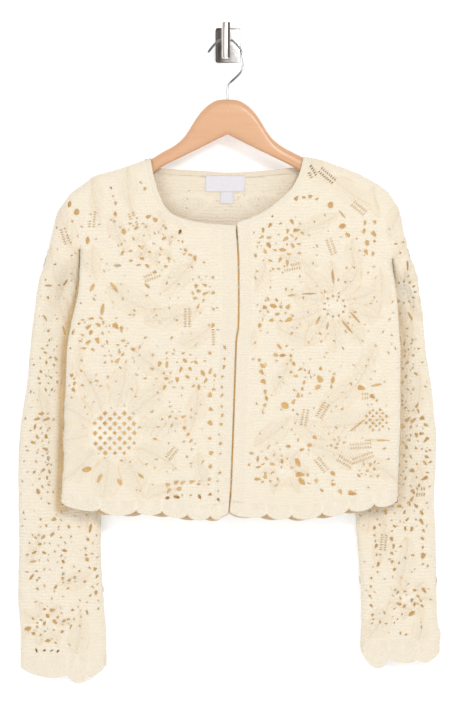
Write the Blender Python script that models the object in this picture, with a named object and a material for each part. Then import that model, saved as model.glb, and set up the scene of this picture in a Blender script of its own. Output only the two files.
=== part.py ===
# Crochet lace cropped cardigan, open at the front, on a wooden hanger and a metal wall hook.
# The wall is the plane Y = 0, the front of the garment faces -Y and +Z is up.
# The origin is the centre of the back face of the wall plate, which lies on the wall.
# Sizes and tables are in millimetres and become metres where the meshes are made.

import math
import random
from collections import namedtuple

import bmesh
import bpy
from mathutils import Vector
from mathutils.geometry import delaunay_2d_cdt

# Driving dimensions, in millimetres, and turns in degrees or, for the golden turn, radians
MM = 0.001
CLOTH_THICKNESS = 2.2
SEAM_GAP = 0.3
PETAL_HEIGHT = 1.3
GRID_PITCH = 31.0
EDGE_PITCH = 31.0
HANGER_Y = -30.0
HANGER_THICKNESS = 12.0
HANGER_HALF_SPAN = 188.0
HANGER_CLEARANCE = 1.0
SHOULDER_FRONT_Y = -39.0
SHOULDER_BACK_Y = -21.0
HEM_FRONT_Y = -46.5
HEM_BACK_Y = -24.8
SIDE_FOLD_Y = -37.0
SLEEVE_MID_Y = -11.6
SLEEVE_HALF_DEPTH = 6.8
FOLD_RADIUS = 11.0
FOLD_TURNS = (45, 90)
NECK_EDGING_WIDTH = 7.0
LEFT_BAND_WIDTH = 20.0
RIGHT_BAND_WIDTH = 16.0
HEM_EDGING_HEIGHT = 19.0
CENTRE_GAP = 2.0
SCALLOP_DEPTH = 7.0
HOLE_MARGIN = 4.0
HOLE_SPACING = 2.4
CORNER_ROOM = 4.0
GOLDEN_TURN = 2.39996
WIRE_RADIUS = 1.6
HOOK_TOP = 3.4
HOOK_FOOT = -84.0
PLATE_WIDTH = 33.0
PLATE_HEIGHT = 44.6
PLATE_THICKNESS = 3.0
BAR_RADIUS = 5.5
BAR_HEIGHT = 45.4
BAR_FRONT_Y = -55.0
BAR_X = -1.8
BAR_Z = -0.8
STEM_RADIUS = 4.0
METAL_BEVEL = 1.0
LABEL_X = -28.0
LABEL_TOP = -170.6
LABEL_WIDTH = 50.0
LABEL_HEIGHT = 20.0
LABEL_THICKNESS = 0.8
TAB_X = -9.0
TAB_WIDTH = 16.0
TAB_HEIGHT = 15.0

Point = namedtuple("Point", "x z")
Edge = namedtuple("Edge", "kind points")
Motif = namedtuple("Motif", "kind x z a b count size turn")
Leaf = namedtuple("Leaf", "x z length width turn")

# The seen outline of the shoulder and the outer side of each sleeve, from the neck to the cuff
OUTER_OUTLINE = {
    "left": [
        Point(-98, -148), Point(-133, -160), Point(-167, -170), Point(-184, -181),
        Point(-201, -194), Point(-211, -208), Point(-218, -222), Point(-224, -244),
        Point(-230, -271), Point(-240, -302), Point(-246, -334), Point(-253, -387),
        Point(-257, -432), Point(-263, -470), Point(-268, -515), Point(-269, -565),
        Point(-268, -640), Point(-269, -714), Point(-266, -755), Point(-266, -786),
    ],
    "right": [
        Point(97, -146), Point(127, -153), Point(162, -166), Point(187, -179),
        Point(204, -191), Point(214.5, -206), Point(221, -223), Point(226, -247),
        Point(233, -275), Point(242, -297), Point(246, -322), Point(251, -354),
        Point(256, -400), Point(262, -437), Point(266, -477), Point(269, -515),
        Point(267, -558), Point(266, -594), Point(268, -640), Point(270, -735),
        Point(274, -756), Point(273, -767),
    ],
}

# The inner side of each sleeve, from under the arm, behind the body, to the cuff
INNER_OUTLINE = {
    "left": [
        Point(-188.6, -266), Point(-189.1, -271), Point(-188.6, -278), Point(-186.4, -287),
        Point(-182, -298), Point(-173.5, -325), Point(-163.5, -352), Point(-158, -398),
        Point(-157, -450), Point(-160, -540), Point(-163, -637), Point(-160, -705),
        Point(-156, -755), Point(-155.5, -784),
    ],
    "right": [
        Point(210.8, -279), Point(211.9, -284), Point(212.2, -291), Point(210.6, -300),
        Point(206.5, -311), Point(197, -340), Point(185, -366), Point(172, -405),
        Point(163, -455), Point(161, -520), Point(165, -612), Point(168, -654),
        Point(172, -722), Point(171, -765),
    ],
}

# The side fold of the body, from under the arm to the hem
SIDE_OUTLINE = {
    "left": [
        Point(-188.6, -266), Point(-188.3, -271), Point(-187.9, -278), Point(-188.2, -290),
        Point(-190, -317), Point(-198, -355), Point(-204, -387), Point(-206, -432),
        Point(-209, -534), Point(-212, -592),
    ],
    "right": [
        Point(210.8, -279), Point(211.1, -284), Point(211.6, -291), Point(212.7, -303),
        Point(216, -330), Point(220, -393), Point(220, -483), Point(217, -559),
        Point(216, -589),
    ],
}

ARMHOLE = {
    "left": [Point(-175, -175), Point(-179, -228), Point(-188.6, -266)],
    "right": [Point(189, -180.2), Point(199, -234), Point(210.8, -279)],
}

# The neck edge of each front from the shoulder to the centre, and of the back across
FRONT_NECK = {
    "left": [
        Point(-98, -148), Point(-95, -166), Point(-92, -178), Point(-86, -197),
        Point(-76, -215), Point(-59, -225), Point(-29, -231.5), Point(10, -234.5),
    ],
    "right": [
        Point(97, -146), Point(92, -167), Point(86, -180), Point(79, -190),
        Point(54, -212), Point(34, -223), Point(12, -231),
    ],
}
BACK_NECK = [
    Point(-98, -148), Point(-95.5, -156), Point(-88, -160), Point(-74, -161.5), Point(-29, -164),
    Point(0, -166), Point(42, -164), Point(76, -160.5), Point(89, -158.5), Point(94.8, -154),
    Point(97, -146),
]

# The front edge of the right front, and the line that the hem scallops hang to
CENTRE_EDGE = [
    Point(12, -231), Point(15, -284), Point(15, -358), Point(12, -386),
    Point(9, -472), Point(5.5, -565), Point(2.5, -603),
]
HEM_LINE = [
    Point(-212, -592), Point(-147, -606), Point(-54, -608), Point(2, -603),
    Point(92, -609), Point(158, -600), Point(216, -589),
]
HEM_CUSPS = {
    "left": (-212, -162, -116, -83, -51, -22, 1),
    "right": (3, 50, 81, 120, 154, 186, 216),
}

# Each cuff scallop: where it starts and ends along the cuff, and how low it hangs
CuffScallop = namedtuple("CuffScallop", "x0 z0 x1 z1 low")
CUFF_SCALLOPS = {
    "left": [
        CuffScallop(-266, -800, -206, -810, -813),
        CuffScallop(-206, -810, -178, -812, -821),
        CuffScallop(-178, -812, -155.5, -797, -809),
    ],
    "right": [
        CuffScallop(273, -779, 244, -791, -793),
        CuffScallop(244, -791, 207, -790, -795),
        CuffScallop(207, -790, 171, -777, -801),
    ],
}

# The lace of each panel: a net is a disc of diamonds, a patch is a scatter in an ellipse,
# a ring is holes round a flower's eye, a strip zigzags downwards, a chain follows an arc
# and a slit is one long hole. The columns are kind, x, z, a, b, count, size, turn in degrees.
LACE = {
    "front_left": [
        Motif("net", -143, -499, 27, 9.4, 0, 6.2, 0),
        Motif("ring", -92, -258, 14, 0, 7, 6.8, 20),
        Motif("ring", -92, -258, 27, 0, 9, 6.6, 5),
        Motif("chain", -110, -182, 46, 0, 5, 6.5, -62),
        Motif("chain", -150, -197, 44, 0, 3, 6.0, -80),
        Motif("slit", -144, -314, 13, 4.5, 1, 0, -52),
        Motif("slit", -172, -314, 11, 4.5, 1, 0, 60),
        Motif("slit", -159, -341, 12, 4.5, 1, 0, 78),
        Motif("slit", -179, -255, 11, 4.5, 1, 0, 88),
        Motif("slit", -140, -286, 10, 4.5, 1, 0, 0),
        Motif("patch", -172, -370, 22, 34, 10, 7.0, 0),
        Motif("chain", -152, -386, 52, 0.35, 6, 7.2, -48),
        Motif("patch", -60, -424, 34, 22, 9, 7.0, 0),
        Motif("patch", -40, -318, 14, 16, 4, 6.6, 0),
        Motif("strip", -13, -300, 9, 15.0, 17, 7.0, 0),
        Motif("chain", -200, -436, 34, 0, 3, 6.0, -80),
        Motif("slit", -178, -543, 12, 6.5, 1, 0, 15),
        Motif("slit", -162, -556, 11, 4.5, 1, 0, 62),
        Motif("slit", -137, -561, 10, 4.5, 1, 0, -66),
        Motif("slit", -110, -552, 9, 4.2, 1, 0, -40),
        Motif("chain", -74, -566, 50, 0, 4, 6.8, 0),
    ],
    "front_right": [
        Motif("patch", 64, -256, 34, 30, 15, 7.2, 0),
        Motif("chain", 92, -205, 22, 0, 3, 7.0, 18),
        Motif("slit", 131, -209, 10, 7.5, 1, 0, 20),
        Motif("chain", 112, -168, 28, 0, 2, 5.6, -38),
        Motif("slit", 146, -236, 10, 6.0, 1, 0, 10),
        Motif("slit", 155, -247, 8, 5.0, 1, 0, -40),
        Motif("chain", 177, -236, 40, 0, 3, 8.0, -92),
        Motif("chain", 189, -236, 40, 0, 3, 7.5, -88),
        Motif("ring", 136, -338, 19, 0, 7, 5.4, 0),
        Motif("slit", 133, -301, 17, 4.6, 1, 0, 92),
        Motif("slit", 106, -322, 14, 4.4, 1, 0, 4),
        Motif("slit", 155, -367, 18, 4.6, 1, 0, -46),
        Motif("slit", 114, -356, 10, 4.4, 1, 0, 62),
        Motif("slit", 194, -309, 14, 4.4, 1, 0, -20),
        Motif("patch", 53, -352, 22, 18, 8, 7.4, 0),
        Motif("strip", 43, -420, 10, 12.0, 6, 7.0, 0),
        Motif("patch", 86, -437, 24, 26, 4, 7.0, 0),
        Motif("chain", 103, -449, 64, -0.5, 5, 7.4, 30),
        Motif("chain", 118, -428, 20, 0, 2, 10.0, 85),
        Motif("ring", 73, -487, 15, 0, 6, 8.0, 10),
        Motif("ring", 46, -545, 12, 0, 5, 7.0, 0),
        Motif("net", 188, -487, 15, 8.2, 0, 5.0, 0),
        Motif("slit", 195, -510, 15, 4.5, 1, 0, 0),
        Motif("chain", 128, -531, 42, -0.4, 4, 9.0, -36),
        Motif("chain", 90, -536, 40, 0, 4, 10.0, -40),
        Motif("slit", 68, -558, 12, 6.0, 1, 0, 80),
        Motif("slit", 178, -571, 14, 4.5, 1, 0, 4),
        Motif("slit", 204, -575, 8, 6.0, 1, 0, -60),
    ],
    "back": [
        Motif("ring", 0, -300, 20, 0, 6, 7.6, 0),
        Motif("patch", -120, -300, 30, 34, 4, 7.8, 0),
        Motif("patch", 120, -300, 30, 34, 4, 7.8, 0),
        Motif("net", 95, -480, 18, 11.5, 0, 7.0, 0),
        Motif("ring", -95, -470, 22, 0, 6, 7.8, 0),
        Motif("patch", 0, -430, 34, 26, 4, 7.8, 0),
        Motif("chain", -50, -560, 100, 0, 4, 7.4, 0),
    ],
    "sleeve_left_front": [
        Motif("slit", -200, -209, 9, 6.0, 1, 0, 75),
        Motif("slit", -192, -219, 9, 6.0, 1, 0, 60),
        Motif("patch", -214, -322, 12, 30, 3, 7.0, 0),
        Motif("patch", -222, -398, 14, 30, 4, 7.0, 0),
        Motif("patch", -243, -505, 15, 40, 8, 7.4, 0),
        Motif("patch", -226, -590, 24, 26, 6, 7.4, 0),
        Motif("strip", -212, -645, 8, 16, 4, 6.6, 0),
        Motif("chain", -185, -640, 50, 0, 4, 8.0, -86),
        Motif("chain", -206, -697, 40, 0, 4, 6.0, 12),
        Motif("ring", -236, -752, 19, 0, 7, 8.0, 10),
        Motif("chain", -250, -660, 60, 0, 3, 7.0, -84),
        Motif("chain", -170, -700, 46, 0, 2, 6.0, -90),
    ],
    "sleeve_right_front": [
        Motif("chain", 210, -200, 20, 0, 2, 6.0, -50),
        Motif("patch", 228, -330, 11, 34, 4, 7.0, 0),
        Motif("patch", 232, -410, 14, 34, 5, 7.0, 0),
        Motif("patch", 240, -500, 20, 46, 10, 7.6, 0),
        Motif("patch", 222, -600, 20, 24, 7, 7.0, 0),
        Motif("chain", 247, -640, 60, 0, 3, 7.6, -86),
        Motif("chain", 184, -630, 66, 0, 3, 6.4, -72),
        Motif("chain", 208, -665, 40, 0, 2, 6.8, -80),
        Motif("ring", 235, -722, 16, 0, 7, 8.0, 0),
        Motif("chain", 184, -700, 50, 0, 2, 6.4, -88),
    ],
    "sleeve_left_back": [
        Motif("patch", -214, -560, 24, 40, 3, 7.6, 0),
        Motif("ring", -212, -700, 18, 0, 5, 7.8, 0),
    ],
    "sleeve_right_back": [
        Motif("patch", 216, -560, 24, 40, 3, 7.6, 0),
        Motif("ring", 220, -690, 18, 0, 5, 7.8, 0),
    ],
}

# Raised flowers and single leaves worked on the lace. A flower's columns are its eye,
# the radius where its petals start, their count, length and width, and the first one's turn.
Flower = namedtuple("Flower", "x z eye petals length width turn")
FLOWERS = {
    "front_left": [Flower(-143, -499, 31, 10, 46, 25, 8)],
    "front_right": [Flower(136, -338, 24, 9, 38, 19, 20)],
    "back": [
        Flower(95, -480, 28, 9, 42, 22, 0),
        Flower(-95, -470, 27, 9, 36, 20, 0),
        Flower(0, -300, 25, 8, 34, 20, 0),
    ],
    "sleeve_left_front": [],
    "sleeve_right_front": [],
    "sleeve_left_back": [],
    "sleeve_right_back": [],
}
LEAVES = {
    "front_left": [
        Leaf(-150, -215, 52, 20, -78), Leaf(-118, -345, 76, 30, -28),
        Leaf(-62, -362, 72, 26, 10), Leaf(-65, -500, 58, 24, 84), Leaf(-128, -282, 40, 18, -70),
    ],
    "front_right": [
        Leaf(160, -205, 64, 24, -35), Leaf(72, -395, 58, 24, 62), Leaf(150, -446, 92, 30, 40),
        Leaf(145, -500, 96, 30, 6), Leaf(100, -505, 70, 22, -30), Leaf(176, -540, 60, 22, -12),
        Leaf(92, -312, 60, 24, 8),
    ],
    "back": [
        Leaf(-60, -210, 80, 28, 12), Leaf(60, -210, 80, 28, -12), Leaf(-60, -375, 84, 28, 40),
        Leaf(62, -372, 84, 28, -40), Leaf(165, -400, 70, 26, 80), Leaf(-165, -400, 70, 26, 100),
    ],
    "sleeve_left_front": [
        Leaf(-208, -255, 60, 18, -66), Leaf(-238, -420, 58, 18, -78), Leaf(-205, -540, 56, 20, 72),
        Leaf(-190, -745, 54, 22, 82), Leaf(-238, -690, 40, 16, 60),
    ],
    "sleeve_right_front": [
        Leaf(217, -255, 56, 16, 66), Leaf(246, -560, 52, 18, 80), Leaf(196, -660, 60, 20, 84),
        Leaf(200, -745, 50, 20, 60), Leaf(246, -690, 50, 16, 84),
    ],
    "sleeve_left_back": [Leaf(-215, -470, 70, 24, 80), Leaf(-214, -630, 64, 24, 88)],
    "sleeve_right_back": [Leaf(218, -470, 70, 24, 92), Leaf(216, -630, 64, 24, 92)],
}


# Small helpers for plane curves

def smooth(low, high, value):
    t = min(1.0, max(0.0, (value - low) / (high - low)))
    return t * t * (3.0 - 2.0 * t)


def spline(points, pitch):
    """Points about a pitch apart along a smooth curve through the given ones."""
    out = []
    for i in range(len(points) - 1):
        p0 = points[max(i - 1, 0)]
        p1, p2 = points[i], points[i + 1]
        p3 = points[min(i + 2, len(points) - 1)]
        length = math.dist(p1, p2)
        steps = max(1, round(length / pitch))
        for k in range(steps):
            t = k / steps
            x, z = [
                0.5 * (2 * b + (c - a) * t + (2 * a - 5 * b + 4 * c - d) * t ** 2
                       + (3 * b - a - 3 * c + d) * t ** 3)
                for a, b, c, d in zip(p0, p1, p2, p3)
            ]
            out.append(Point(x, z))
    out.append(Point(*points[-1]))
    return out


def height_at(curve, x):
    """The z of a curve that runs in x, at one x."""
    rows = sorted(curve)
    if x <= rows[0].x:
        return rows[0].z
    for a, b in zip(rows, rows[1:]):
        if x <= b.x:
            return a.z + (b.z - a.z) * (x - a.x) / max(b.x - a.x, 1e-9)
    return rows[-1].z


def across_at(curve, z):
    """The x of a curve that runs downwards, at one z."""
    return height_at([Point(p.z, p.x) for p in curve], z)


def segment_distance(p, a, b):
    ax, az, bx, bz = a[0], a[1], b[0], b[1]
    dx, dz = bx - ax, bz - az
    size = dx * dx + dz * dz
    t = 0.0 if size == 0 else max(0.0, min(1.0, ((p[0] - ax) * dx + (p[1] - az) * dz) / size))
    return math.hypot(p[0] - ax - t * dx, p[1] - az - t * dz)


def line_distance(p, line):
    return min(segment_distance(p, a, b) for a, b in zip(line, line[1:]))


def inside(p, loop):
    result = False
    for a, b in zip(loop, loop[1:] + loop[:1]):
        if (a[1] > p[1]) != (b[1] > p[1]):
            if p[0] < a[0] + (b[0] - a[0]) * (p[1] - a[1]) / (b[1] - a[1]):
                result = not result
    return result


def crossing(points, a, b, c, d):
    """Whether the plane lines from a to b and from c to d, given as indices, cross."""
    if len({a, b, c, d}) < 4:
        return False

    def turn(i, k, m):
        p, q, r = points[i], points[k], points[m]
        return (q.x - p.x) * (r.y - p.y) - (q.y - p.y) * (r.x - p.x)

    return turn(a, b, c) * turn(a, b, d) < 0 and turn(c, d, a) * turn(c, d, b) < 0


def parallel(line, distance):
    """A plane line moved sideways, to its left for a positive distance."""
    out = []
    for i, p in enumerate(line):
        a = line[max(i - 1, 0)]
        b = line[min(i + 1, len(line) - 1)]
        size = math.dist(a, b)
        out.append(Point(p.x - distance * (b.z - a.z) / size, p.z + distance * (b.x - a.x) / size))
    return out


# The depth of the cloth

FOLD_LINES = {}


def underarm_z(x):
    low = ARMHOLE["left"][-1].z
    high = ARMHOLE["right"][-1].z
    return low + (high - low) * smooth(-100, 100, x)


def layer_depth(surface, side, x, z):
    """The Y of a layer, and of the folds that join it to the other one. Side -1 is the front."""
    drop = underarm_z(x) - z
    if surface == "body":
        fold = HANGER_Y + (SIDE_FOLD_Y - HANGER_Y) * smooth(0, 42, drop)
        if side < 0:
            wave = 2.0 * math.sin(x / 17.0 + 0.7) + 1.2 * math.sin(x / 9.5 + z / 60.0)
            layer = SHOULDER_FRONT_Y + (HEM_FRONT_Y - SHOULDER_FRONT_Y) * smooth(-20, 280, drop)
            return layer + wave * smooth(180, 340, drop), fold
        wave = 0.6 * math.sin(x / 22.0 + 1.0)
        layer = SHOULDER_BACK_Y + (HEM_BACK_Y - SHOULDER_BACK_Y) * smooth(-5, 42, drop)
        return layer + wave * smooth(150, 320, drop), fold
    reach = 42 + 100 * smooth(198 if x < 0 else 222, 250 if x < 0 else 270, abs(x))
    fall = smooth(-2, reach, drop)
    fold = HANGER_Y + (SLEEVE_MID_Y - HANGER_Y) * fall
    half = (HANGER_Y - SHOULDER_FRONT_Y) * (1 - fall) + SLEEVE_HALF_DEPTH * fall
    return fold + side * half, fold


def nearest_fold(surface, x, z):
    return min(line_distance((x, z), line) for line in FOLD_LINES[surface])


def surface_point(surface, side, x, z):
    """A point of a layer's middle and its normal, rounding over to the fold at each edge."""
    layer, fold = layer_depth(surface, side, x, z)
    d = nearest_fold(surface, x, z)
    turn = math.acos(max(0.0, 1 - d / FOLD_RADIUS))
    half = abs(layer - fold)
    gap = SEAM_GAP / 2
    y = fold + side * (gap + (half - gap) * math.sin(turn))
    step = 0.5
    gx = (nearest_fold(surface, x + step, z) - nearest_fold(surface, x - step, z)) / (2 * step)
    gz = (nearest_fold(surface, x, z + step) - nearest_fold(surface, x, z - step)) / (2 * step)
    size = math.hypot(gx, gz) or 1.0
    lean = math.cos(turn) / FOLD_RADIUS
    sx = (layer_depth(surface, side, x + 3, z)[0] - layer_depth(surface, side, x - 3, z)[0]) / 6
    sz = (layer_depth(surface, side, x, z + 3)[0] - layer_depth(surface, side, x, z - 3)[0]) / 6
    face = math.sin(turn) / half
    normal = Vector((
        -gx / size * lean - side * sx * face,
        side * face,
        -gz / size * lean - side * sz * face,
    ))
    return Vector((x, y, z)), normal.normalized()


# Holes and raised shapes, as plane outlines

def hole(x, z, length, width, turn):
    """A drop-shaped hole of five corners, its tip towards the turn."""
    corners = [(0.5, 0), (0.05, 0.5), (-0.45, 0.36), (-0.45, -0.36), (0.05, -0.5)]
    c, s = math.cos(turn), math.sin(turn)
    return [Point(x + length * u * c - width * v * s, z + length * u * s + width * v * c)
            for u, v in corners]


def diamond(x, z, size):
    half = size / 2
    return [Point(x + half, z), Point(x, z + half), Point(x - half, z), Point(x, z - half)]


def slit(x, z, length, width, turn):
    """A long hole of six corners."""
    corners = [(0.5, 0), (0.3, 0.5), (-0.3, 0.5), (-0.5, 0), (-0.3, -0.5), (0.3, -0.5)]
    c, s = math.cos(turn), math.sin(turn)
    return [Point(x + length * u * c - width * v * s, z + length * u * s + width * v * c)
            for u, v in corners]


def motif_holes(motif, dice):
    """The holes of one motif of the lace."""
    m = motif
    turn = math.radians(m.turn)
    if m.kind == "net":
        rows = int(m.a / m.b * 2) + 1
        for i in range(-rows, rows + 1):
            for k in range(-rows, rows + 1):
                x, z = (i + k) * m.b / 2, (i - k) * m.b / 2
                if math.hypot(x, z) < m.a - m.size / 2:
                    yield diamond(m.x + x, m.z + z, m.size)
    elif m.kind == "ring":
        for i in range(m.count):
            angle = turn + 2 * math.pi * i / m.count
            x, z = m.x + m.a * math.cos(angle), m.z + m.a * math.sin(angle)
            yield hole(x, z, m.size * 1.1, m.size * 0.8, angle)
    elif m.kind == "strip":
        for i in range(m.count):
            side = 1 if i % 2 else -1
            yield hole(m.x + side * m.a / 2, m.z - i * m.b, m.size, m.size * 0.9, (1 - side) * math.pi / 2)
    elif m.kind == "chain":
        for i in range(m.count):
            along = (i + 0.5) / m.count - 0.5
            bow = m.b * m.a * (0.25 - along * along)
            c, s = math.cos(turn), math.sin(turn)
            x = m.x + along * m.a * c - bow * s
            z = m.z + along * m.a * s + bow * c
            yield hole(x, z, m.size * 1.1, m.size * 0.85, turn + 1.1 * (i % 3 - 1))
    elif m.kind == "slit":
        yield slit(m.x, m.z, m.a, m.b, turn)
    elif m.kind == "patch":
        for i in range(m.count):
            reach = math.sqrt((i + 0.5) / m.count)
            angle = i * GOLDEN_TURN + m.x
            x = m.x + m.a * reach * math.cos(angle)
            z = m.z + m.b * reach * math.sin(angle)
            size = m.size * dice.uniform(0.9, 1.15)
            yield hole(x, z, size * 1.15, size * 0.85, dice.uniform(0, 2 * math.pi))


def flower_leaves(flower):
    for i in range(flower.petals):
        turn = flower.turn + 360 * i / flower.petals
        reach = flower.eye + flower.length / 2
        x = flower.x + reach * math.cos(math.radians(turn))
        z = flower.z + reach * math.sin(math.radians(turn))
        yield Leaf(x, z, flower.length, flower.width, turn)


def leaf_points(leaf):
    """The foot, tip and sides of a leaf, flat on the cloth, and its raised back."""
    c, s = math.cos(math.radians(leaf.turn)), math.sin(math.radians(leaf.turn))
    rows = [(0.5, 0, 0), (0.12, 0.5, 0), (-0.5, 0, 0), (0.12, -0.5, 0), (0.18, 0, 1), (-0.2, 0, 0.8)]
    for u, v, rise in rows:
        x = leaf.x + leaf.length * u * c - leaf.width * v * s
        z = leaf.z + leaf.length * u * s + leaf.width * v * c
        yield Point(x, z), rise * PETAL_HEIGHT


# Panels

def wall(kind, points):
    return Edge(kind, [Point(*p) for p in points])


def insert_along(points, distance):
    """A line with one more point, at a distance along it, where none is near."""
    run = 0.0
    for i, (a, b) in enumerate(zip(points, points[1:])):
        length = math.dist(a, b)
        if run + length > distance:
            t = (distance - run) / length
            if min(t, 1 - t) * length < 1.3:
                return points
            cut = Point(a.x + (b.x - a.x) * t, a.z + (b.z - a.z) * t)
            return points[:i + 1] + [cut] + points[i + 1:]
        run += length
    return points


def refine_beside_folds(edges):
    """Seams and free edges get the points of the rounding where they run into a fold."""
    out = []
    for before, edge, after in zip(edges[-1:] + edges[:-1], edges, edges[1:] + edges[:1]):
        points = edge.points
        if edge.kind != "fold":
            for turn in FOLD_TURNS:
                distance = FOLD_RADIUS * (1 - math.cos(math.radians(turn)))
                if before.kind == "fold":
                    points = insert_along(points, distance)
                if after.kind == "fold":
                    points = insert_along(points[::-1], distance)[::-1]
        out.append(Edge(edge.kind, points))
    return out


def panel_loop(edges):
    """One closed outline from edges laid end to end, each vertex with the kinds beside it."""
    insets = {"fold": CLOTH_THICKNESS / 2, "seam": SEAM_GAP / 2, "free": 0.0}
    corners = []
    for edge in refine_beside_folds(edges):
        for a, b in zip(edge.points, edge.points[1:]):
            if math.dist(a, b) > 0.05:
                corners.append((a, b, edge.kind))
    area = sum(a.x * b.z - b.x * a.z for a, b, _ in corners)
    if area < 0:
        corners = [(b, a, kind) for a, b, kind in reversed(corners)]
    loop, kinds = [], []
    for (a, b, first), (_, c, second) in zip(corners[-1:] + corners[:-1], corners):
        n1 = Vector((-(b.z - a.z), b.x - a.x)).normalized()
        n2 = Vector((-(c.z - b.z), c.x - b.x)).normalized()
        s1, s2 = insets[first], insets[second]
        cross = n1.x * n2.y - n1.y * n2.x
        if abs(cross) < 0.6 and {first, second} == {"fold", "seam"}:
            move = n1 * s1 if first == "seam" else n2 * s2
        elif abs(cross) < 0.2:
            move = (n1 + n2).normalized() * max(s1, s2)
        else:
            move = Vector(((s1 * n2.y - s2 * n1.y) / cross, (n1.x * s2 - n2.x * s1) / cross))
        loop.append(Point(b.x + move.x, b.z + move.y))
        kinds.append((first, second, -n1, -n2))
    return loop, kinds


def edge_normal(surface, side, normal, kinds):
    """The way a boundary vertex is thickened: along its fold, or square to its seam."""
    first, second, out1, out2 = kinds
    smooth_here = out1.dot(out2) > 0.85
    if first == "fold" and second == "fold":
        out = (out1 + out2).normalized()
        return Vector((out.x, 0, out.y))
    if "fold" in (first, second):
        fold_out, other = (out1, out2) if first == "fold" else (out2, out1)
        along = Vector((-other.y, other.x))
        if along.dot(fold_out) < 0:
            along = -along
        reach = 1 / max(along.dot(fold_out), 0.66)
        return Vector((along.x, 0, along.y)) * reach
    if smooth_here:
        out = (out1 + out2).normalized()
        flat = Vector((out.x, 0, out.y))
        return (normal - flat * normal.dot(flat)).normalized()
    return Vector((0, side, 0))


def build_panel(name, surface, side, edges, material, lace=(), relief=()):
    """A closed cloth wall over a plane outline, with its holes cut through."""
    loop, kinds = panel_loop(edges)
    dice = random.Random(len(name))
    holes = []
    for motif in lace:
        for outline in motif_holes(motif, dice):
            middle = (sum(p.x for p in outline) / len(outline), sum(p.z for p in outline) / len(outline))
            clear = all(inside(p, loop) for p in outline)
            clear = clear and min(line_distance(p, loop + loop[:1]) for p in outline) > HOLE_MARGIN
            clear = clear and min(nearest_fold(surface, *p) for p in outline) > FOLD_RADIUS + 1.0
            for other in holes:
                if not clear:
                    break
                gap = min(line_distance(p, other + other[:1]) for p in outline)
                gap = min(gap, min(line_distance(p, outline + outline[:1]) for p in other))
                clear = gap > HOLE_SPACING and not inside(middle, other)
            if clear:
                holes.append(outline)
    points = [Vector(p) for p in loop]
    rises = [0.0] * len(points)
    lines = [(i, (i + 1) % len(loop)) for i in range(len(loop))]
    hole_of = {}
    for outline in holes:
        start = len(points)
        hole_of.update({start + i: start for i in range(len(outline))})
        points += [Vector(p) for p in outline]
        rises += [0.0] * len(outline)
        lines += [(start + i, start + (i + 1) % len(outline)) for i in range(len(outline))]
    fixed = len(points)

    def free(p, room):
        if not inside(p, loop) or line_distance(p, loop + loop[:1]) < room:
            return False
        for outline in holes:
            if abs(p[0] - outline[0].x) < 30 and abs(p[1] - outline[0].z) < 30:
                if inside(p, outline) or line_distance(p, outline + outline[:1]) < min(room, 3.0):
                    return False
        return all((p[0] - q.x) ** 2 + (p[1] - q.y) ** 2 > room * room for q in points[fixed:])

    for turn in FOLD_TURNS:
        d = FOLD_RADIUS * (1 - math.cos(math.radians(turn)))
        ring = {}
        for i, p in enumerate(loop):
            first, second, out1, out2 = kinds[i]
            if first == "fold" and second == "fold":
                out = (out1 + out2).normalized()
                q = Point(p.x - out.x * d, p.z - out.y * d)
                if free(q, min(d * 0.8, 2.5)):
                    ring[i] = len(points)
                    points.append(Vector(q))
                    rises.append(0.0)
            elif "fold" in (first, second):
                step = 1 if first == "fold" else -1
                for k in range(1, 4):
                    beside = (i + step * k) % len(loop)
                    if abs(math.dist(loop[beside], p) - d) < 0.25 * d:
                        ring[i] = beside
                        break
        for i in ring:
            after = (i + 1) % len(loop)
            if kinds[i][1] == "fold" and after in ring:
                a, b = ring[i], ring[after]
                if not any(crossing(points, a, b, c, e) for c, e in lines):
                    lines.append((a, b))
    for leaf in relief:
        for p, rise in leaf_points(leaf):
            if free(p, 4.0):
                points.append(Vector(p))
                rises.append(rise)
    xs = [p.x for p in loop]
    zs = [p.z for p in loop]
    row = 0
    z = min(zs)
    while z < max(zs):
        x = min(xs) + (row % 2) * GRID_PITCH / 2
        while x < max(xs):
            if free((x, z), GRID_PITCH * 0.52):
                points.append(Vector((x, z)))
                rises.append(0.0)
            x += GRID_PITCH
        z += GRID_PITCH * 0.87
        row += 1

    verts, _, faces, origins, _, _ = delaunay_2d_cdt(points, lines, [], 2, 1e-5)
    centre = []
    outward = []
    lift = []
    for v, origin in zip(verts, origins):
        middle, normal = surface_point(surface, side, v.x, v.y)
        index = origin[0]
        if index < len(loop):
            normal = edge_normal(surface, side, normal, kinds[index])
            first, second, _, _ = kinds[index]
            if "fold" in (first, second):
                fold = layer_depth(surface, side, v.x, v.y)[1]
                middle.y = fold + side * SEAM_GAP / 2
        centre.append(middle)
        outward.append(normal)
        lift.append(rises[index])
    half = CLOTH_THICKNESS / 2
    mesh = bmesh.new()
    outer = [mesh.verts.new((c + n * (half + r)) * MM) for c, n, r in zip(centre, outward, lift)]
    inner = [mesh.verts.new((c - n * half) * MM) for c, n in zip(centre, outward)]
    border = {}
    for face in faces:
        around = {hole_of.get(origins[i][0]) for i in face}
        if len(around) == 1 and None not in around:
            continue
        order = face if side < 0 else face[::-1]
        mesh.faces.new([outer[i] for i in order])
        mesh.faces.new([inner[i] for i in reversed(order)])
        for a, b in zip(order, order[1:] + order[:1]):
            if (b, a) in border:
                del border[(b, a)]
            else:
                border[(a, b)] = True
    for a, b in border:
        mesh.faces.new([outer[b], outer[a], inner[a], inner[b]])
    bmesh.ops.triangulate(mesh, faces=[f for f in mesh.faces if len(f.verts) > 3])
    print(name, "holes", len(holes), "triangles", len(mesh.faces))
    return add_object(name, mesh, material), len(holes)


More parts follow.
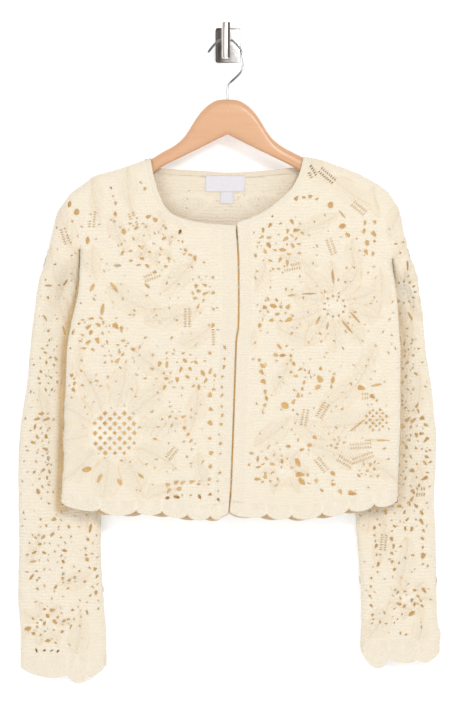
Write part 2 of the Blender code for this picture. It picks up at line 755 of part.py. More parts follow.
def add_object(name, mesh, material):
    data = bpy.data.meshes.new(name)
    mesh.to_mesh(data)
    mesh.free()
    data.materials.append(material)
    thing = bpy.data.objects.new(name, data)
    bpy.context.collection.objects.link(thing)
    return thing


def make_material(name, colour, roughness, metallic=0.0):
    material = bpy.data.materials.new(name)
    material.use_nodes = True
    shader = material.node_tree.nodes["Principled BSDF"]
    shader.inputs["Base Color"].default_value = (*colour, 1.0)
    shader.inputs["Roughness"].default_value = roughness
    shader.inputs["Metallic"].default_value = metallic
    return material


# The garment

def split_line(line, z_or_x, axis):
    """The part of a line before, and the part after, the place where it passes a value."""
    for i, (a, b) in enumerate(zip(line, line[1:])):
        low, high = a[axis], b[axis]
        if (low - z_or_x) * (high - z_or_x) <= 0 and low != high:
            t = (z_or_x - low) / (high - low)
            cut = Point(a.x + (b.x - a.x) * t, a.z + (b.z - a.z) * t)
            return line[:i + 1] + [cut], [cut] + line[i + 1:]
    raise ValueError("the line doesn't pass there")


def scallops(cusps, hem):
    """A row of round scallops under a hem, from cusp to cusp."""
    out = []
    for a, b in zip(cusps, cusps[1:]):
        for u in (-1.0, -0.62, 0.0, 0.62):
            x = (a + b) / 2 + u * (b - a) / 2
            rise = SCALLOP_DEPTH * (1 - math.sqrt(1 - u * u))
            out.append(Point(x, height_at(hem, x) + rise))
    x = cusps[-1]
    out.append(Point(x, height_at(hem, x) + SCALLOP_DEPTH))
    return out


def cuff_line(rows):
    out = []
    for row in rows:
        for t in (0.0, 0.2, 0.5, 0.8):
            z = row.z0 + (row.z1 - row.z0) * t
            low = row.low - (row.z0 + row.z1) / 2
            out.append(Point(row.x0 + (row.x1 - row.x0) * t, z + low * math.sin(math.pi * t)))
    out.append(Point(rows[-1].x1, rows[-1].z1))
    return out


def build_garment(cream, edging):
    outer = {s: spline(OUTER_OUTLINE[s], EDGE_PITCH) for s in ("left", "right")}
    inner = {s: spline(INNER_OUTLINE[s], EDGE_PITCH) for s in ("left", "right")}
    sides = {s: spline(SIDE_OUTLINE[s], EDGE_PITCH) for s in ("left", "right")}
    armhole = {s: spline(ARMHOLE[s], EDGE_PITCH) for s in ("left", "right")}
    hem = spline(HEM_LINE, 20)
    hem_seam = [Point(p.x, p.z + HEM_EDGING_HEIGHT) for p in hem]
    inset = CLOTH_THICKNESS / 2
    sign = {"left": 1, "right": -1}
    FOLD_LINES["body"] = [parallel(outer[s], inset * sign[s]) for s in outer]
    FOLD_LINES["body"] += [parallel(sides[s], inset * sign[s]) for s in sides]
    FOLD_LINES["sleeve"] = [parallel(outer[s], inset * sign[s]) for s in outer]
    FOLD_LINES["sleeve"] += [parallel(inner[s], -inset * sign[s]) for s in inner]

    count = 0
    shoulder, sleeve_top, side_top, side_low = {}, {}, {}, {}
    for s in ("left", "right"):
        top = armhole[s][0]
        shoulder[s], sleeve_top[s] = split_line(outer[s], top.x, 0)
        armhole[s][0] = shoulder[s][-1]
        corner = height_at(hem_seam, sides[s][-1].x)
        side_top[s], side_low[s] = split_line(sides[s], corner, 1)

    # Each front, its band, its neck edging and its hem edging
    for s in ("left", "right"):
        edge = CENTRE_EDGE if s == "right" else [Point(p.x - CENTRE_GAP, p.z) for p in CENTRE_EDGE]
        edge = spline(edge, EDGE_PITCH)
        width = LEFT_BAND_WIDTH if s == "left" else -RIGHT_BAND_WIDTH
        band = [Point(p.x - width, p.z) for p in edge]
        neck = spline(FRONT_NECK[s], EDGE_PITCH)
        neck_seam = parallel(neck, -NECK_EDGING_WIDTH * sign[s])
        start_x = shoulder[s][0].x - NECK_EDGING_WIDTH * sign[s]
        neck_fold, panel_fold = split_line(shoulder[s], start_x, 0)
        neck_seam[0] = neck_fold[-1]
        seam_end = Point(across_at(edge, neck_seam[-1].z), neck_seam[-1].z)
        neck[-1] = Point(across_at(edge, neck[-1].z), neck[-1].z)
        neck_seam = [p for p in neck_seam if abs(p.x - seam_end.x) > 6] + [seam_end]
        band_x = across_at(band, seam_end.z)
        seam_main, seam_band = split_line(neck_seam, band_x, 0)
        band_top = seam_main[-1]
        low_z = height_at(hem_seam, band[-1].x)
        band_low = Point(across_at(band, low_z), low_z)
        edge_low_z = height_at(hem_seam, edge[-1].x)
        edge_low = Point(across_at(edge, edge_low_z), edge_low_z)
        band_mid = [p for p in band if band_low.z + CORNER_ROOM < p.z < band_top.z - CORNER_ROOM]
        edge_mid = [p for p in edge if edge_low.z + CORNER_ROOM < p.z < seam_end.z - CORNER_ROOM]
        corner = side_top[s][-1]
        low_x, high_x = sorted((corner.x, band_low.x))
        hem_run = [p for p in hem_seam if low_x + CORNER_ROOM < p.x < high_x - CORNER_ROOM]
        hem_run = [corner] + hem_run[::sign[s]] + [band_low]
        relief = list(LEAVES["front_" + s])
        for flower in FLOWERS["front_" + s]:
            relief += flower_leaves(flower)
        _, number = build_panel("front_" + s, "body", -1, [
            wall("fold", panel_fold),
            wall("seam", armhole[s]),
            wall("fold", side_top[s]),
            wall("seam", hem_run),
            wall("seam", [band_low] + band_mid[::-1] + [band_top]),
            wall("seam", seam_main[::-1]),
        ], cream, LACE["front_" + s], relief)
        count += number
        build_panel("front_band_" + s, "body", -1, [
            wall("seam", [band_top] + band_mid + [band_low]),
            wall("seam", [band_low, edge_low]),
            wall("free", [edge_low] + edge_mid[::-1] + [seam_end]),
            wall("seam", seam_band[::-1]),
        ], edging)
        build_panel("neck_edging_" + s, "body", -1, [
            wall("fold", neck_fold),
            wall("seam", seam_main[:-1] + [band_top] + seam_band[1:]),
            wall("free", [seam_end, neck[-1]]),
            wall("free", neck[::-1]),
        ], edging)
        cusps = HEM_CUSPS[s] if s == "left" else HEM_CUSPS[s][::-1]
        bottom = scallops(cusps, hem)
        bottom[0] = side_low[s][-1]
        hem_top = hem_run + [edge_low]
        build_panel("hem_edging_" + s, "body", -1, [
            wall("fold", side_low[s]),
            wall("free", bottom),
            wall("free", [bottom[-1], edge_low]),
            wall("seam", hem_top[::-1]),
        ], edging)

    # The back, its neck edging and its hem edging
    neck = spline(BACK_NECK, EDGE_PITCH)
    neck_seam = parallel(neck, -NECK_EDGING_WIDTH)
    neck_fold, panel_fold = {}, {}
    for s in ("left", "right"):
        start_x = shoulder[s][0].x - NECK_EDGING_WIDTH * sign[s]
        neck_fold[s], panel_fold[s] = split_line(shoulder[s], start_x, 0)
    neck_seam = [panel_fold["left"][0]] + neck_seam[1:-1] + [panel_fold["right"][0]]
    start, end = side_top["left"][-1], side_top["right"][-1]
    hem_run = [p for p in hem_seam if start.x + CORNER_ROOM < p.x < end.x - CORNER_ROOM]
    hem_run = [start] + hem_run + [end]
    relief = list(LEAVES["back"])
    for flower in FLOWERS["back"]:
        relief += flower_leaves(flower)
    _, number = build_panel("back", "body", 1, [
        wall("fold", panel_fold["left"]),
        wall("seam", armhole["left"]),
        wall("fold", side_top["left"]),
        wall("seam", hem_run),
        wall("fold", side_top["right"][::-1]),
        wall("seam", armhole["right"][::-1]),
        wall("fold", panel_fold["right"][::-1]),
        wall("seam", neck_seam[::-1]),
    ], cream, LACE["back"], relief)
    count += number
    build_panel("neck_edging_back", "body", 1, [
        wall("fold", neck_fold["left"]),
        wall("seam", neck_seam),
        wall("fold", neck_fold["right"][::-1]),
        wall("free", neck[::-1]),
    ], edging)
    step = (HEM_CUSPS["right"][-1] - HEM_CUSPS["left"][0]) / 12
    bottom = scallops([HEM_CUSPS["left"][0] + step * i for i in range(13)], hem)
    bottom[0] = side_low["left"][-1]
    bottom[-1] = side_low["right"][-1]
    build_panel("hem_edging_back", "body", 1, [
        wall("fold", side_low["left"]),
        wall("free", bottom),
        wall("fold", side_low["right"][::-1]),
        wall("seam", hem_run[::-1]),
    ], edging)

    # Each sleeve in a front and a back half, with its cuff edging
    for s in ("left", "right"):
        cuff = [outer[s][-1], inner[s][-1]]
        mid = Point((cuff[0].x + cuff[1].x) / 2, (cuff[0].z + cuff[1].z) / 2)
        rows = CUFF_SCALLOPS[s]
        for half, side in (("front", -1), ("back", 1)):
            key = "sleeve_%s_%s" % (s, half)
            relief = list(LEAVES[key])
            for flower in FLOWERS[key]:
                relief += flower_leaves(flower)
            _, number = build_panel(key, "sleeve", side, [
                wall("fold", sleeve_top[s]),
                wall("seam", [cuff[0], mid, cuff[1]]),
                wall("fold", inner[s][::-1]),
                wall("seam", armhole[s][::-1]),
            ], cream, LACE[key], relief)
            count += number
            low = cuff_line(rows)
            build_panel("cuff_edging_%s_%s" % (s, half), "sleeve", side, [
                wall("fold", [cuff[0], low[0]]),
                wall("free", low),
                wall("fold", [low[-1], cuff[1]]),
                wall("seam", [cuff[1], mid, cuff[0]]),
            ], edging)
    print("holes cut through the lace:", count)
    return outer


# The label and the size tab lie on the inside of the back, under the neck edge

def build_label(name, x0, z_top, width, height, material):
    mesh = bmesh.new()
    columns, rows = 4, 2
    half = CLOTH_THICKNESS / 2
    grid = {}
    for level, out in (("near", SEAM_GAP + LABEL_THICKNESS), ("far", SEAM_GAP)):
        for i in range(columns + 1):
            for k in range(rows + 1):
                x = x0 + width * i / columns
                z = z_top - height * k / rows
                middle, normal = surface_point("body", 1, x, z)
                grid[level, i, k] = mesh.verts.new((middle - normal * (half + out)) * MM)
    for i in range(columns):
        for k in range(rows):
            quad = [(i, k), (i, k + 1), (i + 1, k + 1), (i + 1, k)]
            mesh.faces.new([grid["near", a, b] for a, b in quad])
            mesh.faces.new([grid["far", a, b] for a, b in reversed(quad)])
    rim = [(i, 0) for i in range(columns)] + [(columns, k) for k in range(rows)]
    rim += [(i, rows) for i in range(columns, 0, -1)] + [(0, k) for k in range(rows, 0, -1)]
    for (a, b), (c, d) in zip(rim, rim[1:] + rim[:1]):
        mesh.faces.new([grid["near", a, b], grid["near", c, d], grid["far", c, d], grid["far", a, b]])
    add_object(name, mesh, material)


# The wooden hanger: two arms of one rounded section, met at the middle

HangerRow = namedtuple("HangerRow", "x top low")
HANGER_ROWS = [
    HangerRow(0, -73, -117.5), HangerRow(12, -73.6, -123.8), HangerRow(22, -77, -129),
    HangerRow(33, -86, -134.8), HangerRow(42, -98, -139.5), HangerRow(50, -113, -143.6),
    HangerRow(57, -124.5, -147.2), HangerRow(68, -131.5, -152.8), HangerRow(84, -140.5, -161),
]


def hanger_section(top, low):
    """The section of an arm, as pairs of Y and Z, rounded at its top and bottom."""
    half = HANGER_THICKNESS / 2
    right = [
        (1.0, top), (0.64 * half, top - 3.6), (half, top - 9.0),
        (half, low + 4.0), (0.72 * half, low + 1.2), (1.2, low),
    ]
    left = [(-y, z) for y, z in reversed(right)]
    return [(HANGER_Y + y, z) for y, z in right + left]


def make_drill():
    """The cutter for the hole that takes the foot of the hook, between the two arms."""
    low, high = HOOK_FOOT - SEAM_GAP, HANGER_ROWS[0].top + 6
    bpy.ops.mesh.primitive_cylinder_add(
        vertices=12, radius=(WIRE_RADIUS + 0.5) * MM, depth=(high - low) * MM,
        location=(0, HANGER_Y * MM, (high + low) / 2 * MM))
    drill = bpy.context.object
    drill.name = "hook_drill"
    drill.hide_render = True
    drill.display_type = "WIRE"
    return drill


def build_hanger(outer, wood):
    drill = make_drill()
    clearance = CLOTH_THICKNESS + HANGER_CLEARANCE
    for s, sign in (("left", -1), ("right", 1)):
        line = parallel(outer[s], clearance if s == "left" else -clearance)
        rows = [HangerRow(max(row.x, SEAM_GAP / 2), row.top, row.low) for row in HANGER_ROWS]
        for p in line:
            reach = abs(p.x)
            if 92 < reach < HANGER_HALF_SPAN:
                depth = 20.5 + 3.5 * smooth(95, 150, reach)
                rows.append(HangerRow(reach, p.z, p.z - depth))
        end = height_at([Point(abs(p.x), p.z) for p in line], HANGER_HALF_SPAN)
        rows = [r for r in rows if r.x < HANGER_HALF_SPAN - 6]
        rows.append(HangerRow(HANGER_HALF_SPAN, end - 1.0, end - 21.0))
        mesh = bmesh.new()
        rings = []
        for row in rows:
            ring = [mesh.verts.new((sign * row.x * MM, y * MM, z * MM))
                    for y, z in hanger_section(row.top, row.low)]
            rings.append(ring)
        for a, b in zip(rings, rings[1:]):
            for i in range(len(a)):
                k = (i + 1) % len(a)
                mesh.faces.new([a[i], b[i], b[k], a[k]])
        mesh.faces.new(rings[0])
        mesh.faces.new(rings[-1])
        bmesh.ops.recalc_face_normals(mesh, faces=mesh.faces)
        arm = add_object("hanger_arm_" + s, mesh, wood)
        bore = arm.modifiers.new("hole for the hook", "BOOLEAN")
        bore.operation = "DIFFERENCE"
        bore.object = drill


# The swivel hook of the hanger, a bent wire that hangs on the wall hook's stem

HOOK_ROUTE = [
    Point(0, HOOK_FOOT), Point(0, -72), Point(0, -58), Point(3.4, -52.2), Point(10, -46),
    Point(16.4, -39.2), Point(19.4, -30), Point(19.6, -20), Point(16.5, -9.5), Point(9.5, -0.8),
    Point(3.5, 2.6), Point(-2, HOOK_TOP), Point(-8, 2.6), Point(-13.6, -0.4), Point(-19.5, -6.5),
    Point(-25, -13.6),
]


def build_hook(chrome):
    curve = bpy.data.curves.new("hanger_hook", "CURVE")
    curve.dimensions = "3D"
    curve.bevel_depth = WIRE_RADIUS * MM
    curve.bevel_resolution = 2
    curve.use_fill_caps = True
    path = spline(HOOK_ROUTE, 4.5)
    line = curve.splines.new("POLY")
    line.points.add(len(path) - 1)
    for point, p in zip(line.points, path):
        point.co = (p.x * MM, HANGER_Y * MM, p.z * MM, 1.0)
    curve.materials.append(chrome)
    thing = bpy.data.objects.new("hanger_hook", curve)
    bpy.context.collection.objects.link(thing)


# The wall hook: a plate on the wall, a round stem out of it and an upright round bar at its end

def round_metal_edges(thing, material):
    mod = thing.modifiers.new("rounded edges", "BEVEL")
    mod.width = METAL_BEVEL * MM
    mod.segments = 2
    mod.limit_method = "ANGLE"
    thing.data.materials.append(material)


def add_rod(name, centre, radius, length, sides, turn):
    bpy.ops.mesh.primitive_cylinder_add(
        vertices=sides, radius=radius * MM, depth=length * MM,
        location=[c * MM for c in centre], rotation=(turn, 0, 0))
    rod = bpy.context.object
    rod.name = name
    rod.data.name = name
    return rod


def build_wall_hook(chrome):
    bpy.ops.mesh.primitive_cube_add(size=1.0, location=(MM, -PLATE_THICKNESS / 2 * MM, 0))
    plate = bpy.context.object
    plate.name = "wall_plate"
    plate.data.name = "wall_plate"
    plate.scale = (PLATE_WIDTH * MM, PLATE_THICKNESS * MM, PLATE_HEIGHT * MM)
    bpy.ops.object.transform_apply(location=False, rotation=False, scale=True)
    round_metal_edges(plate, chrome)

    stem_start = -PLATE_THICKNESS - SEAM_GAP
    stem_end = BAR_FRONT_Y + 2 * BAR_RADIUS + SEAM_GAP
    stem_z = HOOK_TOP - WIRE_RADIUS - SEAM_GAP - STEM_RADIUS
    stem = add_rod("wall_stem", (BAR_X, (stem_start + stem_end) / 2, stem_z), STEM_RADIUS,
                   stem_start - stem_end, 16, math.pi / 2)
    stem.data.materials.append(chrome)
    bar = add_rod("wall_bar", (BAR_X, BAR_FRONT_Y + BAR_RADIUS, BAR_Z), BAR_RADIUS, BAR_HEIGHT, 24, 0)
    round_metal_edges(bar, chrome)


def main():
    for thing in list(bpy.data.objects):
        bpy.data.objects.remove(thing)
    cream = make_material("crochet cotton", (0.91, 0.80, 0.62), 0.92)
    edging = make_material("crochet edging", (0.93, 0.83, 0.66), 0.92)
    satin = make_material("woven label", (0.90, 0.89, 0.92), 0.55)
    wood = make_material("hanger wood", (0.78, 0.50, 0.29), 0.45)
    chrome = make_material("chrome", (0.75, 0.75, 0.76), 0.15, 1.0)
    outer = build_garment(cream, edging)
    build_label("label", LABEL_X, LABEL_TOP, LABEL_WIDTH, LABEL_HEIGHT, satin)
    build_label("size_tab", TAB_X, LABEL_TOP - LABEL_HEIGHT - SEAM_GAP, TAB_WIDTH, TAB_HEIGHT, satin)
    build_hanger(outer, wood)
    build_hook(chrome)
    build_wall_hook(chrome)


main()
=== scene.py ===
import math
import random

import bpy
import numpy as np
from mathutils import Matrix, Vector
from mathutils.geometry import delaunay_2d_cdt
from mathutils.kdtree import KDTree


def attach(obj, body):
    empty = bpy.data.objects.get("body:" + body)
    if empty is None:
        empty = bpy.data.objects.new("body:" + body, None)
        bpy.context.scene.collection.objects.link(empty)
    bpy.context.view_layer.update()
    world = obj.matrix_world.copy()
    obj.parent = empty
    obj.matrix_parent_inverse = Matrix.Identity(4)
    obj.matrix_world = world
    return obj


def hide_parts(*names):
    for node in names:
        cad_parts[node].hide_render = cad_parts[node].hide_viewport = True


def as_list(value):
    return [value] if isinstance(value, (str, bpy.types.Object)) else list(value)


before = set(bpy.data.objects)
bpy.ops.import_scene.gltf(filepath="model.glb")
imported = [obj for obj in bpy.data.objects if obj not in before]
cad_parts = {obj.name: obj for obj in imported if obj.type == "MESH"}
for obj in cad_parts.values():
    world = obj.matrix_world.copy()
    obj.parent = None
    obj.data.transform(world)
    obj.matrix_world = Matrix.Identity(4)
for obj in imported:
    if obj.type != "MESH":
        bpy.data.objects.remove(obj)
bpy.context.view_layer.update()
mm = 0.001
sign = {"left": 1, "right": -1}  # the viewer's sides, and the way a line's cloth lies beside it

# The cloth, in millimetres: the wall is y = 0, the front faces -y
cloth = {
    "thickness": 2.2, "foldRadius": 11.0, "finePitch": 1.7, "backPitch": 2.6, "trimPitch": 1.35,
    "hangerY": -30.0, "shoulderFrontY": -39.0, "shoulderBackY": -21.0, "hemFrontY": -46.5,
    "hemBackY": -24.8, "sideFoldY": -37.0, "sleeveY": -11.6, "sleeveHalf": 6.8,
    "armpitZ": -266.0, "armpitTilt": 13.0, "sleeveIn": (198.0, 222.0), "sleeveOut": (250.0, 270.0),
    "neckEdging": 7.0, "bandLeft": 20.0, "bandRight": 16.0, "hemEdging": 19.0, "cuffEdging": 20.0,
    "centreGap": 2.0, "scallopDepth": 7.0, "backHemDrop": 3.0, "backScallops": 12,
    "edgeToHole": 2.6, "holeToHole": 1.5, "rimRow": 1.15, "foldRow": 0.6, "rowStep": 0.87,
}

outerLine = {
    "left": [(-98, -148), (-133, -160), (-167, -170), (-184, -181), (-201, -194), (-211, -208),
             (-218, -222), (-224, -244), (-230, -271), (-240, -302), (-246, -334), (-253, -387),
             (-257, -432), (-263, -470), (-268, -515), (-269, -565), (-268, -640), (-269, -714),
             (-266, -755), (-266, -786)],
    "right": [(97, -146), (127, -153), (162, -166), (187, -179), (204, -191), (214.5, -206),
              (221, -223), (226, -247), (233, -275), (242, -297), (246, -322), (251, -354),
              (256, -400), (262, -437), (266, -477), (269, -515), (267, -558), (266, -594),
              (268, -640), (270, -735), (274, -756), (273, -767)],
}
innerLine = {
    "left": [(-188.6, -266), (-189.1, -271), (-188.6, -278), (-186.4, -287), (-182, -298),
             (-173.5, -325), (-163.5, -352), (-158, -398), (-157, -450), (-160, -540),
             (-163, -637), (-160, -705), (-156, -755), (-155.5, -784)],
    "right": [(210.8, -279), (211.9, -284), (212.2, -291), (210.6, -300), (206.5, -311),
              (197, -340), (185, -366), (172, -405), (163, -455), (161, -520), (165, -612),
              (168, -654), (172, -722), (171, -765)],
}
sideLine = {
    "left": [(-188.6, -266), (-188.3, -271), (-187.9, -278), (-188.2, -290), (-190, -317),
             (-198, -355), (-204, -387), (-206, -432), (-209, -534), (-212, -592)],
    "right": [(210.8, -279), (211.1, -284), (211.6, -291), (212.7, -303), (216, -330),
              (220, -393), (220, -483), (217, -559), (216, -589)],
}
armhole = {
    "left": [(-175, -175), (-179, -228), (-188.6, -266)],
    "right": [(189, -180.2), (199, -234), (210.8, -279)],
}
frontNeck = {
    "left": [(-98, -148), (-95, -166), (-92, -178), (-86, -197), (-76, -215), (-59, -225),
             (-29, -231.5), (10, -234.5)],
    "right": [(97, -146), (92, -167), (86, -180), (79, -190), (54, -212), (34, -223), (12, -231)],
}
backNeck = [(-98, -148), (-95.5, -156), (-88, -160), (-74, -161.5), (-29, -164), (0, -166),
            (42, -164), (76, -160.5), (89, -158.5), (94.8, -154), (97, -146)]
centreEdge = [(12, -231), (15, -284), (15, -358), (12, -386), (9, -472), (5.5, -565), (2.5, -603)]
hemLine = [(-212, -592), (-147, -603), (-98, -603), (-54, -608), (-16, -609.5), (2, -605),
           (92, -609), (158, -600), (216, -589)]
hemCusps = {"left": [-212, -162, -116, -83, -51, -22, 1], "right": [3, 50, 81, 120, 154, 186, 216]}
cuffScallops = {  # start, end and lowest point of each scallop
    "left": [(-266, -800, -206, -810, -813), (-206, -810, -178, -812, -821),
             (-178, -812, -155.5, -797, -809)],
    "right": [(273, -779, 244, -791, -793), (244, -791, 207, -790, -795),
              (207, -790, 171, -777, -801)],
}

